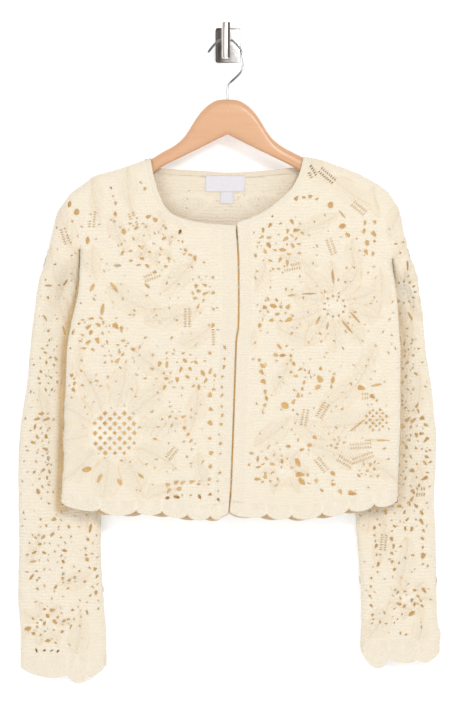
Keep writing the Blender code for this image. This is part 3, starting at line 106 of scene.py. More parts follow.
# The lace of each panel. net: x, z, radius, pitch, hole. ring: x, z, radius, count, hole, turn.
# patch: x, z, half width, half height, pitch, hole, turn. chain: x, z, length, count, hole, turn, bow.
# strip: x, z, swing, pitch, count, hole. slit: x, z, length, width, turn.
# ladder: x, z, length, dash, turn
lace = {
    "front_left": [
        ("net", -143, -499, 31, 12.4, 5.8),
        ("patch", -96, -257, 40, 38, 13.5, 5.2, 20), ("chain", -100, -200, 52, 6, 5.2, -58, 0.1),
        ("chain", -147, -209, 54, 5, 4.4, -82, 0.1), ("chain", -42, -262, 56, 6, 4.4, -55, -0.2),
        ("slit", -144, -314, 15, 3.6, -52), ("slit", -172, -314, 11, 3.4, 62),
        ("slit", -159, -342, 15, 4.2, 80), ("slit", -178, -254, 10, 4.4, 85),
        ("slit", -140, -286, 9, 3.6, 0), ("slit", -102, -312, 9, 3.0, -40),
        ("patch", -172, -372, 24, 28, 11.0, 5.0, 0), ("chain", -148, -375, 44, 4, 6.0, -40, 0.3),
        ("patch", -130, -400, 22, 16, 10.0, 4.2, 30), ("slit", -106, -398, 18, 2.0, -48),
        ("patch", -58, -420, 38, 28, 12.0, 5.4, 0), ("patch", -36, -320, 16, 20, 10.0, 4.8, 0),
        ("ladder", -51, -352, 26, 3.0, 90), ("ladder", -15, -376, 24, 3.6, 92),
        ("strip", -14, -300, 7.5, 10.2, 7, 5.0), ("strip", -19, -398, 5.5, 8.9, 21, 5.4),
        ("chain", -196, -430, 42, 4, 4.6, -84, 0), ("chain", -172, -440, 30, 4, 4.6, -4, 0.2),
        ("slit", -178, -545, 12, 6.2, 15), ("slit", -162, -556, 12, 3.8, 66),
        ("slit", -137, -561, 9, 4.2, -60), ("slit", -110, -553, 8, 3.2, -40),
        ("chain", -50, -566, 60, 6, 4.2, 0, 0.1), ("chain", -58, -512, 46, 5, 4.4, -80, 0.3),
        ("patch", -56, -580, 26, 12, 11.0, 5.0, 0), ("patch", -64, -480, 24, 10, 9.5, 3.8, 0),
        ("ladder", -96, -300, 22, 3.0, 20), ("ladder", -120, -228, 20, 3.2, -70),
        ("ladder", -172, -226, 24, 3.0, 84), ("ladder", -70, -524, 20, 3.0, 50),
        ("patch", -100, -400, 110, 190, 18.0, 2.4, 14),
    ],
    "front_right": [
        ("patch", 62, -256, 36, 38, 12.0, 5.0, 15), ("chain", 96, -204, 46, 5, 4.4, 6, 0.1),
        ("slit", 131, -209, 8, 7.0, 90), ("ladder", 106, -166, 20, 4.0, -60),
        ("ladder", 127, -172, 26, 3.2, -40), ("slit", 146, -236, 9, 6.0, 10),
        ("slit", 153, -247, 7, 4.4, -40), ("slit", 146, -221, 12, 1.6, -50),
        ("chain", 175, -250, 50, 4, 5.6, -90, 0), ("chain", 187, -250, 50, 4, 5.6, -88, 0),
        ("slit", 134, -300, 18, 3.0, 96), ("slit", 104, -322, 18, 1.8, 2),
        ("slit", 152, -364, 22, 2.6, -50), ("slit", 162, -352, 19, 2.2, -48),
        ("slit", 115, -356, 12, 2.4, 62), ("slit", 127, -363, 9, 2.0, 80),
        ("patch", 52, -346, 30, 20, 10.5, 5.2, 0), ("slit", 81, -324, 9, 2.0, 5),
        ("patch", 70, -400, 20, 16, 11.0, 4.6, 0), ("chain", 42, -440, 74, 9, 5.2, -84, 0.08),
        ("chain", 118, -430, 30, 3, 7.4, 84, 0), ("chain", 134, -432, 26, 3, 6.0, 84, 0),
        ("slit", 73, -464, 10, 8.4, -35), ("chain", 96, -450, 60, 6, 4.8, 62, 0.1),
        ("ladder", 121, -470, 22, 3.8, 60), ("patch", 92, -420, 16, 14, 10.0, 4.2, 0),
        ("chain", 94, -508, 44, 4, 6.2, 20, -0.2), ("ladder", 98, -478, 24, 3.0, 80),
        ("patch", 48, -540, 28, 30, 11.5, 5.4, 20), ("slit", 94, -560, 11, 6.0, -50),
        ("chain", 104, -564, 50, 4, 7.6, -32, 0.2), ("slit", 89, -536, 12, 5.6, -62),
        ("chain", 150, -558, 46, 4, 7.0, -40, -0.3), ("slit", 190, -571, 15, 2.8, 4),
        ("slit", 209, -576, 7, 5.6, -60), ("net", 189, -482, 18, 8.4, 3.8),
        ("slit", 190, -508, 32, 2.0, 0), ("ladder", 170, -515, 30, 2.4, 4),
        ("patch", 178, -545, 16, 14, 9.0, 3.8, 0), ("chain", 170, -448, 44, 4, 6.0, -30, 0.2),
        ("slit", 189, -438, 14, 2.4, 10), ("ring", 136, -338, 13, 11, 2.8, 0),
        ("slit", 165, -489, 24, 1.8, 38), ("patch", 140, -512, 20, 8, 7.5, 2.8, 10),
        ("ladder", 172, -530, 28, 2.6, 20), ("ladder", 150, -536, 24, 3.0, -30),
        ("ladder", 178, -452, 16, 2.8, 0), ("ladder", 120, -540, 24, 3.0, -50),
        ("ladder", 132, -262, 22, 3.0, -70), ("ladder", 168, -214, 24, 3.0, -40),
        ("ladder", 82, -288, 22, 3.0, 10), ("patch", 115, -400, 110, 190, 18.0, 2.4, 9),
    ],
    "front_band_left": [("chain", -8.7, -488, 205, 17, 3.7, -92.6, 0)],
    "back": [
        ("ring", 0, -300, 20, 9, 5.6, 0), ("patch", -120, -300, 34, 40, 15, 5.2, 0),
        ("patch", 120, -300, 34, 40, 15, 5.2, 0), ("net", 95, -480, 22, 9.4, 5.6),
        ("ring", -95, -470, 22, 9, 5.6, 0), ("patch", 0, -430, 34, 30, 14, 5.2, 0),
        ("chain", -50, -560, 120, 9, 4.8, 0, 0), ("chain", -52, -206, 46, 4, 2.0, 80, 0),
        ("strip", -8, -204, 8, 9.5, 9, 1.9), ("chain", 50, -203, 50, 5, 2.0, 70, 0.2),
        ("patch", 12, -198, 20, 14, 11.5, 1.6, 0), ("patch", 74, -196, 12, 20, 12, 1.8, 0),
        ("strip", 150, -470, 10, 11, 9, 5.0), ("chain", 150, -240, 80, 7, 4.8, -80, 0.1),
        ("chain", -150, -230, 70, 6, 4.8, -100, -0.1),
        ("patch", -140, -440, 34, 30, 12, 4.8, 0), ("patch", 60, -540, 40, 22, 12, 4.8, 0),
        ("patch", 0, -360, 30, 18, 12, 4.6, 0), ("patch", -150, -530, 26, 30, 12, 4.8, 0),
        ("patch", 150, -340, 30, 24, 12, 4.6, 0), ("ladder", -60, -375, 26, 3.0, 40),
        ("ladder", 62, -372, 26, 3.0, -40), ("ladder", 165, -400, 24, 3.0, 80),
        ("patch", 0, -420, 190, 160, 19.0, 3.2, 0),
    ],
    "sleeve_left_front": [
        ("slit", -201, -208, 8, 4.2, 80), ("slit", -192, -218, 8, 6.6, 70),
        ("slit", -229, -311, 9, 2.2, 0), ("slit", -208, -307, 9, 2.4, 55),
        ("slit", -234, -352, 9, 2.0, -60), ("slit", -209, -369, 12, 2.0, -70),
        ("patch", -229, -420, 14, 36, 9.5, 3.2, 0), ("patch", -238, -530, 15, 62, 10.5, 5.2, 0),
        ("patch", -224, -632, 24, 26, 12.0, 4.8, 0), ("chain", -212, -668, 46, 6, 3.8, -84, 0),
        ("chain", -202, -696, 46, 5, 4.2, 8, 0.2), ("patch", -246, -676, 16, 28, 12.0, 5.0, 0),
        ("patch", -232, -746, 25, 22, 11.0, 6.2, 10), ("chain", -180, -655, 42, 5, 5.0, -88, 0),
        ("slit", -176, -622, 12, 3.4, 80), ("chain", -168, -700, 60, 6, 3.6, -86, 0),
        ("patch", -196, -738, 20, 14, 10.0, 3.4, 0), ("patch", -226, -778, 20, 12, 9.5, 3.2, 0),
        ("patch", -212, -500, 60, 300, 16.0, 2.3, 0), ("ladder", -200, -452, 26, 3.0, 84),
        ("ladder", -190, -548, 24, 3.0, 80), ("ladder", -206, -250, 24, 3.0, -72),
    ],
    "sleeve_right_front": [
        ("chain", 208, -202, 22, 3, 3.4, -50, 0), ("ring", 226, -319, 14, 12, 2.6, 0),
        ("slit", 198, -307, 15, 2.0, -24), ("slit", 212, -320, 20, 1.8, 88),
        ("slit", 215, -288, 14, 2.0, 76), ("slit", 229, -286, 12, 2.0, 94),
        ("slit", 212, -354, 16, 2.2, 60), ("slit", 234, -350, 11, 2.4, -62),
        ("patch", 226, -418, 18, 44, 9.5, 3.2, 0), ("patch", 240, -520, 22, 62, 11.0, 5.4, 0),
        ("patch", 226, -602, 24, 26, 11.0, 4.8, 0), ("chain", 250, -640, 66, 6, 5.4, -86, 0),
        ("chain", 190, -650, 70, 6, 4.4, -84, 0), ("chain", 212, -650, 60, 6, 4.2, -88, 0),
        ("patch", 234, -712, 22, 20, 11.0, 6.2, 0), ("chain", 184, -710, 60, 5, 3.4, -88, 0),
        ("patch", 206, -742, 18, 10, 10.0, 3.2, 0), ("ladder", 243, -575, 22, 5.0, 0),
        ("patch", 220, -500, 60, 300, 16.0, 2.3, 0), ("ladder", 212, -470, 24, 3.0, 88),
        ("ladder", 200, -566, 24, 3.0, 84), ("ladder", 200, -640, 22, 3.0, 84),
    ],
    "sleeve_left_back": [
        ("patch", -214, -560, 26, 60, 14, 5.6, 0), ("ring", -212, -700, 18, 8, 5.4, 0),
        ("patch", -214, -400, 20, 44, 14, 5.0, 0), ("patch", -212, -480, 50, 280, 18.0, 3.4, 0),
    ],
    "sleeve_right_back": [
        ("patch", 216, -560, 26, 60, 14, 5.6, 0), ("ring", 220, -690, 18, 8, 5.4, 0),
        ("patch", 222, -400, 20, 44, 14, 5.0, 0), ("patch", 220, -480, 50, 280, 18.0, 3.4, 0),
    ],
}

# Flowers: x, z, eye radius, petals, petal length, petal width, turn. Leaves: x, z, length, width, turn
flowers = {
    "front_left": [(-143, -499, 31, 10, 60, 36, 8), (-92, -258, 9, 7, 22, 13, 14)],
    "front_right": [(136, -338, 15, 10, 46, 24, 20), (72, -548, 8, 6, 24, 14, 0)],
    "back": [(95, -480, 28, 9, 46, 28, 0), (-95, -470, 27, 9, 42, 26, 0), (0, -300, 24, 9, 42, 24, 0)],
    "sleeve_left_front": [(-234, -745, 10, 7, 22, 13, 0)],
    "sleeve_right_front": [(226, -319, 15, 11, 34, 16, 12), (233, -712, 9, 7, 22, 13, 0)],
    "sleeve_left_back": [(-212, -700, 22, 8, 34, 20, 0)],
    "sleeve_right_back": [(220, -690, 22, 8, 34, 20, 0)],
}
leaves = {
    "front_left": [
        (-170, -200, 60, 22, -80), (-126, -192, 64, 22, -84), (-70, -225, 44, 15, -30),
        (-140, -246, 50, 20, -70), (-118, -334, 84, 32, -28), (-68, -352, 76, 28, 12),
        (-60, -300, 64, 24, 48), (-172, -284, 44, 18, -84), (-98, -412, 60, 24, -38),
        (-40, -378, 50, 20, 30), (-40, -470, 60, 22, 80), (-86, -575, 44, 18, 20),
        (-36, -545, 46, 18, 100), (-188, -408, 46, 16, 84),
    ],
    "front_right": [
        (118, -170, 58, 24, -38), (160, -196, 70, 26, -34), (112, -236, 64, 24, 22),
        (160, -278, 54, 20, -80), (92, -282, 54, 22, -16), (190, -208, 44, 18, -70),
        (44, -300, 40, 18, 70), (88, -376, 56, 24, -18), (196, -318, 60, 22, 88),
        (150, -448, 84, 30, 38), (178, -412, 60, 24, 66), (156, -488, 104, 34, 8),
        (110, -500, 70, 26, -34), (150, -528, 100, 30, -16), (70, -428, 50, 20, 66),
        (60, -498, 60, 24, 40), (196, -545, 44, 20, -30), (30, -380, 40, 14, 84),
    ],
    "back": [
        (-60, -212, 84, 30, 12), (60, -212, 84, 30, -12), (-60, -375, 90, 32, 40),
        (62, -372, 90, 32, -40), (165, -400, 76, 28, 80), (-165, -400, 76, 28, 100),
        (-150, -200, 64, 26, 30), (150, -200, 64, 26, -30), (0, -560, 90, 30, 90),
        (-160, -540, 80, 30, 30), (170, -550, 70, 28, -30), (-20, -500, 70, 26, 60),
    ],
    "sleeve_left_front": [
        (-206, -240, 76, 24, -72), (-222, -290, 60, 20, -80), (-196, -300, 50, 18, -78),
        (-214, -340, 60, 22, -74), (-190, -380, 64, 20, -84), (-200, -450, 80, 26, 84),
        (-190, -548, 76, 26, 80), (-238, -470, 60, 18, -78), (-178, -600, 50, 20, 88),
        (-190, -760, 60, 26, 82), (-246, -650, 44, 16, 70), (-194, -690, 44, 20, 20),
    ],
    "sleeve_right_front": [
        (212, -232, 64, 22, 70), (222, -262, 40, 16, 60), (236, -380, 56, 20, 84),
        (212, -470, 84, 22, 88), (246, -450, 56, 18, 84), (200, -560, 80, 28, 84),
        (246, -566, 52, 20, 80), (200, -640, 64, 24, 84), (228, -664, 64, 24, 80),
        (196, -742, 60, 26, 60), (248, -752, 44, 20, 84), (182, -600, 60, 20, 90),
    ],
    "sleeve_left_back": [(-215, -470, 74, 26, 80), (-214, -630, 68, 26, 88), (-222, -300, 84, 26, 100),
                         (-200, -350, 64, 24, 80), (-214, -540, 60, 24, 70), (-212, -770, 50, 24, 88)],
    "sleeve_right_back": [(218, -470, 74, 26, 92), (216, -630, 68, 26, 92), (224, -300, 84, 26, 80),
                          (206, -350, 64, 24, 100), (216, -540, 60, 24, 110), (220, -760, 50, 24, 88)],
}


# Plane curves

def smooth(low, high, value):
    t = np.clip((np.asarray(value, float) - low) / (high - low), 0.0, 1.0)
    return t * t * (3.0 - 2.0 * t)


def curveThrough(points, pitch):
    out = []
    p = np.array(points, float)
    for i in range(len(p) - 1):
        a, b, c, d = p[max(i - 1, 0)], p[i], p[i + 1], p[min(i + 2, len(p) - 1)]
        steps = max(1, round(float(np.linalg.norm(c - b)) / pitch))
        for k in range(steps):
            t = k / steps
            q = 0.5 * (2 * b + (c - a) * t + (2 * a - 5 * b + 4 * c - d) * t ** 2
                       + (3 * b - a - 3 * c + d) * t ** 3)
            out.append((float(q[0]), float(q[1])))
    return out + [(float(p[-1][0]), float(p[-1][1]))]


def valueAt(line, axis, value):
    rows = sorted((p[axis], p[1 - axis]) for p in line)
    return float(np.interp(value, [r[0] for r in rows], [r[1] for r in rows]))


def splitLine(line, value, axis):
    for i, (a, b) in enumerate(zip(line, line[1:])):
        if (a[axis] - value) * (b[axis] - value) <= 0 and a[axis] != b[axis]:
            t = (value - a[axis]) / (b[axis] - a[axis])
            cut = (a[0] + (b[0] - a[0]) * t, a[1] + (b[1] - a[1]) * t)
            return line[:i + 1] + [cut], [cut] + line[i + 1:]
    raise ValueError("the line doesn't pass there")


def sideways(line, distance):
    out = []
    for i, p in enumerate(line):
        a, b = line[max(i - 1, 0)], line[min(i + 1, len(line) - 1)]
        size = math.dist(a, b) or 1.0
        out.append((p[0] - distance * (b[1] - a[1]) / size, p[1] + distance * (b[0] - a[0]) / size))
    return out


def distanceTo(lines, x, z, reach=14.0):
    best = np.full(x.shape, 99.0)  # farther than any reach
    for line in lines:
        for (ax, az), (bx, bz) in zip(line, line[1:]):
            near = np.nonzero((x > min(ax, bx) - reach) & (x < max(ax, bx) + reach)
                              & (z > min(az, bz) - reach) & (z < max(az, bz) + reach))[0]
            if len(near) == 0:
                continue
            dx, dz = bx - ax, bz - az
            t = ((x[near] - ax) * dx + (z[near] - az) * dz) / max(dx * dx + dz * dz, 1e-9)
            t = np.clip(t, 0, 1)
            gap = np.hypot(x[near] - ax - t * dx, z[near] - az - t * dz)
            best[near] = np.minimum(best[near], gap)
    return best


def insideLoop(loop, x, z):
    result = np.zeros(x.shape, bool)
    for (ax, az), (bx, bz) in zip(loop, loop[1:] + loop[:1]):
        hit = np.nonzero((az > z) != (bz > z))[0]
        if len(hit):
            result[hit] ^= x[hit] < ax + (bx - ax) * (z[hit] - az) / (bz - az)
    return result


def softNoise(x, z, scale, seed):
    gx, gz = x / scale + 40.0, z / scale + 400.0
    ix, iz = np.floor(gx), np.floor(gz)
    fx, fz = gx - ix, gz - iz
    fx, fz = fx * fx * (3 - 2 * fx), fz * fz * (3 - 2 * fz)

    def corner(a, b):
        h = np.sin(a * 12.9898 + b * 78.233 + seed * 37.719) * 43758.5453
        return 2.0 * (h - np.floor(h)) - 1.0

    low = corner(ix, iz) * (1 - fx) + corner(ix + 1, iz) * fx
    high = corner(ix, iz + 1) * (1 - fx) + corner(ix + 1, iz + 1) * fx
    return low * (1 - fz) + high * fz


# Depth of the two layers of the body and of the sleeves

foldLines = {}  # where the front and back layers of the body and of the sleeves meet


def layerDepth(surface, side, x, z):
    c = cloth
    drop = c["armpitZ"] - c["armpitTilt"] * smooth(-100, 100, x) - z  # how far below the armpit
    if surface == "body":
        fold = c["hangerY"] + (c["sideFoldY"] - c["hangerY"]) * smooth(0, 42, drop)
        if side < 0:
            waves = 2.0 * np.sin(x / 17.0 + 0.7) + 1.2 * np.sin(x / 9.5 + z / 60.0)
            layer = c["shoulderFrontY"] + (c["hemFrontY"] - c["shoulderFrontY"]) * smooth(-20, 280, drop)
            return layer + waves * smooth(180, 340, drop), fold  # the waves grow towards the hem
        layer = c["shoulderBackY"] + (c["hemBackY"] - c["shoulderBackY"]) * smooth(-5, 42, drop)
        return layer + 0.6 * np.sin(x / 22.0 + 1.0) * smooth(150, 320, drop), fold
    low, high = np.where(x < 0, *c["sleeveIn"]), np.where(x < 0, *c["sleeveOut"])
    fall = smooth(-2, 42 + 100 * smooth(low, high, np.abs(x)), drop)  # slower at the outer edge
    fold = c["hangerY"] + (c["sleeveY"] - c["hangerY"]) * fall
    half = (c["hangerY"] - c["shoulderFrontY"]) * (1 - fall) + c["sleeveHalf"] * fall
    return fold + side * half, fold


def clothY(surface, side, x, z):
    layer, fold = layerDepth(surface, side, x, z)
    d = np.minimum(distanceTo(foldLines[surface], x, z), cloth["foldRadius"])
    turn = np.arccos(1 - d / cloth["foldRadius"])
    return fold + side * np.abs(layer - fold) * np.sin(turn)


def clothPoints(surface, side, x, z):
    y = clothY(surface, side, x, z)
    step = 0.7  # the slope is measured this far to each side
    gx = (clothY(surface, side, x + step, z) - clothY(surface, side, x - step, z)) / (2 * step)
    gz = (clothY(surface, side, x, z + step) - clothY(surface, side, x, z - step)) / (2 * step)
    size = np.sqrt(1 + gx * gx + gz * gz)
    normal = np.stack([-gx / size, 1 / size, -gz / size], axis=1) * side
    return np.stack([x, y, z], axis=1), normal


# Holes of the lace

def holeOutline(shape, x, z, length, width, turn, count=10):
    out = []
    c, s = math.cos(turn), math.sin(turn)
    for i in range(count):
        a = 2 * math.pi * i / count
        u, v = 0.5 * math.cos(a), 0.5 * math.sin(a)
        if shape == "drop":
            u += 0.08 * math.cos(2 * a)
            v *= 1 - 0.3 * math.cos(a)
        elif shape == "corner":
            grow = 1 + 0.2 * math.cos(3 * a)
            u, v = u * grow, v * grow
        elif shape == "diamond":
            grow = 1.12 / (abs(math.cos(a)) + abs(math.sin(a))) ** 0.8
            u, v = u * grow, v * grow
        else:
            v *= abs(math.sin(a)) ** 0.4
        out.append((x + length * u * c - width * v * s, z + length * u * s + width * v * c))
    return out


ladder = {"pitch": 3.1, "gap": 1.2, "width": 1.2, "slant": 12}
# how far a hole may stray from its place, in millimetres or as a share, and how its size may vary
loose = {"net": 0.6, "strip": 1.5, "chain": 0.5, "chainRun": 0.4, "patch": 0.24, "pinholes": 0.5}
pinholePitch = 15.5
grown = {"net": (0.62, 0.92), "strip": (0.648, 1.242), "chain": [0.55, 0.8, 1.0, 1.15],
         "patch": [0.34, 0.5, 0.7, 0.9, 1.1]}


def laceHoles(rows, dice):
    for kind, x, z, *sizes in rows:
        if kind == "net":
            radius, pitch, size = sizes
            steps = int(radius / pitch * 2) + 1
            for i in range(-steps, steps + 1):
                for k in range(-steps, steps + 1):
                    u, v = (i + k) * pitch / 2, (i - k) * pitch / 2
                    if math.hypot(u, v) < radius - size / 2:
                        hole = size * dice.uniform(*grown["net"])
                        yield holeOutline("diamond", x + u + dice.uniform(-loose["net"], loose["net"]),
                                          z + v + dice.uniform(-loose["net"], loose["net"]),
                                          hole, hole, 0, 8)
        elif kind == "ring":
            radius, count, size, turn = sizes
            for i in range(count):
                a = math.radians(turn) + 2 * math.pi * i / count
                yield holeOutline("drop", x + radius * math.cos(a), z + radius * math.sin(a),
                                  size * 1.2, size * 0.85, a, 8)
        elif kind == "strip":
            swing, pitch, count, size = sizes
            for i in range(count):
                side = 1 if i % 2 else -1
                hole = size * dice.uniform(*grown["strip"])
                yield holeOutline(dice.choice(["drop", "corner"]),
                                  x + side * swing / 2 + dice.uniform(-loose["strip"], loose["strip"]),
                                  z - i * pitch + dice.uniform(-loose["strip"], loose["strip"]),
                                  hole, hole * 0.8, dice.uniform(0, 6.3))
        elif kind == "slit":
            length, width, turn = sizes
            yield holeOutline("slit", x, z, length, width, math.radians(turn), 12)
        else:
            yield from turnedHoles(kind, x, z, sizes, dice)


def turnedHoles(kind, x, z, sizes, dice):
    turn = math.radians(sizes[3] if kind == "chain" else sizes[-1])
    c, s = math.cos(turn), math.sin(turn)

    def hole(shape, u, v, length, width, tilt, count=10):
        return holeOutline(shape, x + u * c - v * s, z + u * s + v * c, length, width, tilt, count)

    if kind == "chain":
        length, count, size, _, bow = sizes
        for i in range(count):
            along = (i + 0.5) / count - 0.5
            v = bow * length * (0.25 - along * along) * 4
            v = v + dice.uniform(-loose["chain"], loose["chain"]) * size
            grow = dice.choice(grown["chain"]) * size
            u = along * length + dice.uniform(-loose["chainRun"], loose["chainRun"]) * size
            yield hole(dice.choice(["drop", "corner", "slit"]), u, v, grow * dice.uniform(0.95, 1.4),
                       grow * dice.uniform(0.6, 0.9), turn + dice.uniform(-0.9, 0.9))
    elif kind == "ladder":
        length, dash, degrees = sizes
        for i in range(int(length / ladder["pitch"])):
            for side in (-1, 1):
                u = (i + 0.5) * ladder["pitch"] - length / 2
                yield hole("slit", u, side * (dash * 0.5 + ladder["gap"]), dash, ladder["width"],
                           math.radians(degrees + 90 + side * ladder["slant"]), 6)
    else:
        wide, high, pitch, size, _ = sizes
        steps = int(max(wide, high) / pitch) + 1
        swing = loose["patch" if pitch < pinholePitch else "pinholes"] * pitch
        for i in range(-steps, steps + 1):
            for k in range(-steps, steps + 1):
                u = (k + 0.5 * (i % 2)) * pitch + dice.uniform(-swing, swing)
                v = i * pitch * cloth["rowStep"] + dice.uniform(-swing, swing)
                if (u / wide) ** 2 + (v / high) ** 2 > 1:
                    continue
                shape = dice.choice(["drop", "corner", "drop", "slit", "slit"])
                grow = size * dice.choice(grown["patch"])
                yield hole(shape, u, v, grow * dice.uniform(1.0, 1.7), grow * dice.uniform(0.5, 0.9),
                           dice.uniform(0, 6.3))


# Relief: how far the outer face stands out, how pale it is with painted shade in its hollows, and the run
# of its stitches

relief = {"leafHeight": 1.2, "ribPitch": 4.4, "rib": 0.4, "spine": 0.4, "spineWidth": 1.1,
          "groove": 0.3, "grooveWidth": 1.5, "uneven": 0.35, "eyeRing": 0.7, "eyeDip": 0.6,
          "fan": 0.3, "fanRow": 0.18, "fanRowPitch": 6.2, "spokeGap": 4.2, "fanDip": 0.7,
          "bandRow": 0.14, "bandRowPitch": 3.4, "neckRibPitch": 3.6,
          "rim": 0.45, "rimDip": 0.35, "edgeDrop": 0.45}
# painted shade: spine, rib, groove, eyeDip, rim, fan and fanDip darken the hollows of the relief
paint = {"plain": 0.93, "leaf": 1.02, "spine": 0.2, "rib": 0.13, "groove": 0.32, "eye": 0.97,
         "eyeDip": 0.1, "rim": 0.22, "seam": 0.96, "fan": 0.02, "fanDip": 0.1}


def allLeaves(key):
    rows = []
    for x, z, eye, petals, length, width, turn in flowers.get(key, []):
        for i in range(petals):
            a = math.radians(turn + 360 * i / petals)
            reach = eye + length / 2
            rows.append((x + reach * math.cos(a), z + reach * math.sin(a), length, width,
                         math.degrees(a)))
    return leaves.get(key, []) + rows


def worked(key, x, z):
    r = relief
    lift = r["uneven"] * (softNoise(x, z, 17, 1) + 0.6 * softNoise(x, z, 7, 2))
    tone = np.full(x.shape, paint["plain"])
    along = x + 1.6 * softNoise(x, z, 12, 3)
    row = z + 1.6 * softNoise(x, z, 14, 4)
    for cx, cz, length, width, turn in allLeaves(key):
        c, s = math.cos(math.radians(turn)), math.sin(math.radians(turn))
        u = (x - cx) * c + (z - cz) * s
        v = -(x - cx) * s + (z - cz) * c
        v = v - 3.0 * (u / length * 2) ** 2 * (1 if (cx + cz) % 2 < 1 else -1)  # a leaf is bent a little
        near = np.nonzero((np.abs(u) < length / 2 + 5) & (np.abs(v) < width / 2 + 5))[0]
        if len(near) == 0:
            continue
        u, v = u[near], v[near]
        t = np.clip(u / length + 0.5, 0, 1)
        half = width / 2 * np.sin(np.pi * t ** 0.85) ** 0.72
        beyond = np.maximum(np.abs(u) - length / 2, 0)
        edge = np.abs(v) - half
        edge = np.where(beyond > 0, np.hypot(beyond, np.maximum(edge, 0)), edge)
        e = np.clip(np.abs(v) / np.maximum(half, 0.5), 0, 1)
        ribRow = u + np.abs(v) * 0.75
        dome = r["leafHeight"] * np.maximum(1 - e ** 2, 0) ** 0.8 * np.sin(np.pi * t) ** 0.4
        stripe = np.cos(2 * np.pi * ribRow / r["ribPitch"]) * (1 - e ** 4)
        spine = np.exp(-(v / r["spineWidth"]) ** 2)
        leaf = dome + r["rib"] * stripe - r["spine"] * spine
        share = smooth(0.0, -2.2, edge)
        broken = 0.55 + 0.45 * softNoise(x[near], z[near], 9, 8)
        groove = np.exp(-((edge - 0.3) / r["grooveWidth"]) ** 2) * np.clip(broken, 0, 1)
        lift[near] = lift[near] * (1 - share) + leaf * share - r["groove"] * groove
        # painted shade: the spine, the hollows between the ribs and the groove round the leaf are darker
        pale = paint["leaf"] - paint["spine"] * spine - paint["rib"] * (1 - stripe)
        tone[near] = tone[near] * (1 - share) + pale * share - paint["groove"] * groove
        over = edge < 0
        at = near[over]
        along[at] = v[over]
        row[at] = ribRow[over]
    for x0, z0, eye, *_ in flowers.get(key, []):
        d = np.hypot(x - x0, z - z0)
        near = np.nonzero(d < eye + 1)[0]
        d = d[near]
        dip = np.exp(-((d - eye) / 1.1) ** 2)
        lift[near] = 0.25 + r["eyeRing"] * np.exp(-((d - eye + 3.5) / 1.8) ** 2) - r["eyeDip"] * dip
        # painted shade in the dip round the eye
        tone[near] = paint["eye"] - paint["eyeDip"] * dip
        row[near] = d
        along[near] = np.arctan2(z[near] - z0, x[near] - x0) * np.maximum(d, 3)
    return lift, tone, along, row


def bandWork(x, z):
    rows = np.cos(2 * np.pi * (z + 0.8 * softNoise(x, z, 11, 5)) / relief["bandRowPitch"])
    lift = relief["bandRow"] * rows + 0.25 * softNoise(x, z, 14, 6)
    # painted shade: the hollows between the rows are a little darker
    return lift, 0.97 + 0.03 * rows, x + 0.5 * softNoise(x, z, 9, 7), z * 1.25


def neckWork(line, x, z):
    distance, run = distanceTo([line], x, z), x + z
    roll = np.sqrt(np.maximum(1 - (np.clip(distance, 0, 7) / 3.5 - 1) ** 2, 0))
    ribs = np.cos(2 * np.pi * run / relief["neckRibPitch"])
    # painted shade: the roll is paler on top and darker towards its edges
    return 0.3 * roll - 0.1 + 0.1 * ribs, 0.94 + 0.06 * roll, distance * 1.3, run * 1.2


def shellWork(cusps, hem, height, x, z):  # fans that spread from the middle of each scallop's top
    r = relief
    lift, tone = np.zeros(x.shape), np.ones(x.shape)
    along, row = x.copy(), z.copy()
    for a, b in zip(cusps, cusps[1:]):
        mid = (a + b) / 2
        topZ = valueAt(hem, 0, mid) + height * 0.75
        hit = np.nonzero((x >= a) & (x < b))[0]
        if len(hit) == 0:
            continue
        dx, dz = x[hit] - mid, z[hit] - topZ
        toCusp = np.minimum(x[hit] - a, b - x[hit])
        d = np.hypot(dx, dz)
        angle = np.arctan2(dx, -dz)
        spokes = max(5, round((b - a) * 0.9 / r["spokeGap"]))
        fan = np.cos(angle * spokes * 2)
        weight = smooth(3, 10, d) * smooth(-0.5, 1.5, toCusp)
        rows = np.cos(2 * np.pi * d / r["fanRowPitch"])
        gap = np.exp(-(toCusp / 1.4) ** 2) * smooth(height * 0.9, 2, dz + height)
        lift[hit] = (r["fan"] * fan + r["fanRow"] * rows) * weight + 0.3 - r["fanDip"] * gap
        # painted shade between the spokes of each fan and in the dip beside each cusp
        tone[hit] = 1.0 - paint["fan"] * (1 - fan) * weight - paint["fanDip"] * gap
        along[hit] = angle * np.maximum(d, 4)
        row[hit] = d
    return lift, tone, along, row


# Tone: 1 is pale cotton, 0 is the gold of painted shade that shows through the holes; the lowest tones also
# glow as painted light

# painted shade: the strip beside the body's fold on the sleeves, and the inner faces, paler where the neck,
# cuffs, hem and centre let light in
shade = {"strip": 0.73, "stripLimit": 0.28, "stripWidth": (2.5, 8.0), "stripFalls": (-272, -390),
         "stripRight": 0.3, "haze": 0.03, "hazeRight": 0.02, "hazeReach": 22.0,
         "insideSleeve": 0.17, "atCuff": 0.43, "cuffFalls": (-772, -795),
         "insideFront": 0.15, "atNeck": 0.6, "insideBack": 0.12, "atCentre": 0.12, "atHem": 0.34,
         "hemFalls": (-572, -588), "underNeck": 0.9}


def sleeveShade(x, z):  # painted shade: the body's fold lies close over the sleeve, and the yarn beside it is painted darker as its shadow
    s = shade
    left, right = (distanceTo([curveThrough(sideLine[way], 8)], x, z, 30) for way in sign)
    wide = s["stripWidth"][0] + s["stripWidth"][1] * smooth(*s["stripFalls"], z)
    dark = s["strip"] * np.exp(-(left / wide) ** 3) * (1 + 0.05 * softNoise(x, z, 9, 11))
    dark = dark + s["haze"] * np.exp(-left / s["hazeReach"])
    faint = s["stripRight"] * np.exp(-(right / wide) ** 2)
    return np.where(x < 0, dark, faint + s["hazeRight"] * np.exp(-right / s["hazeReach"]))


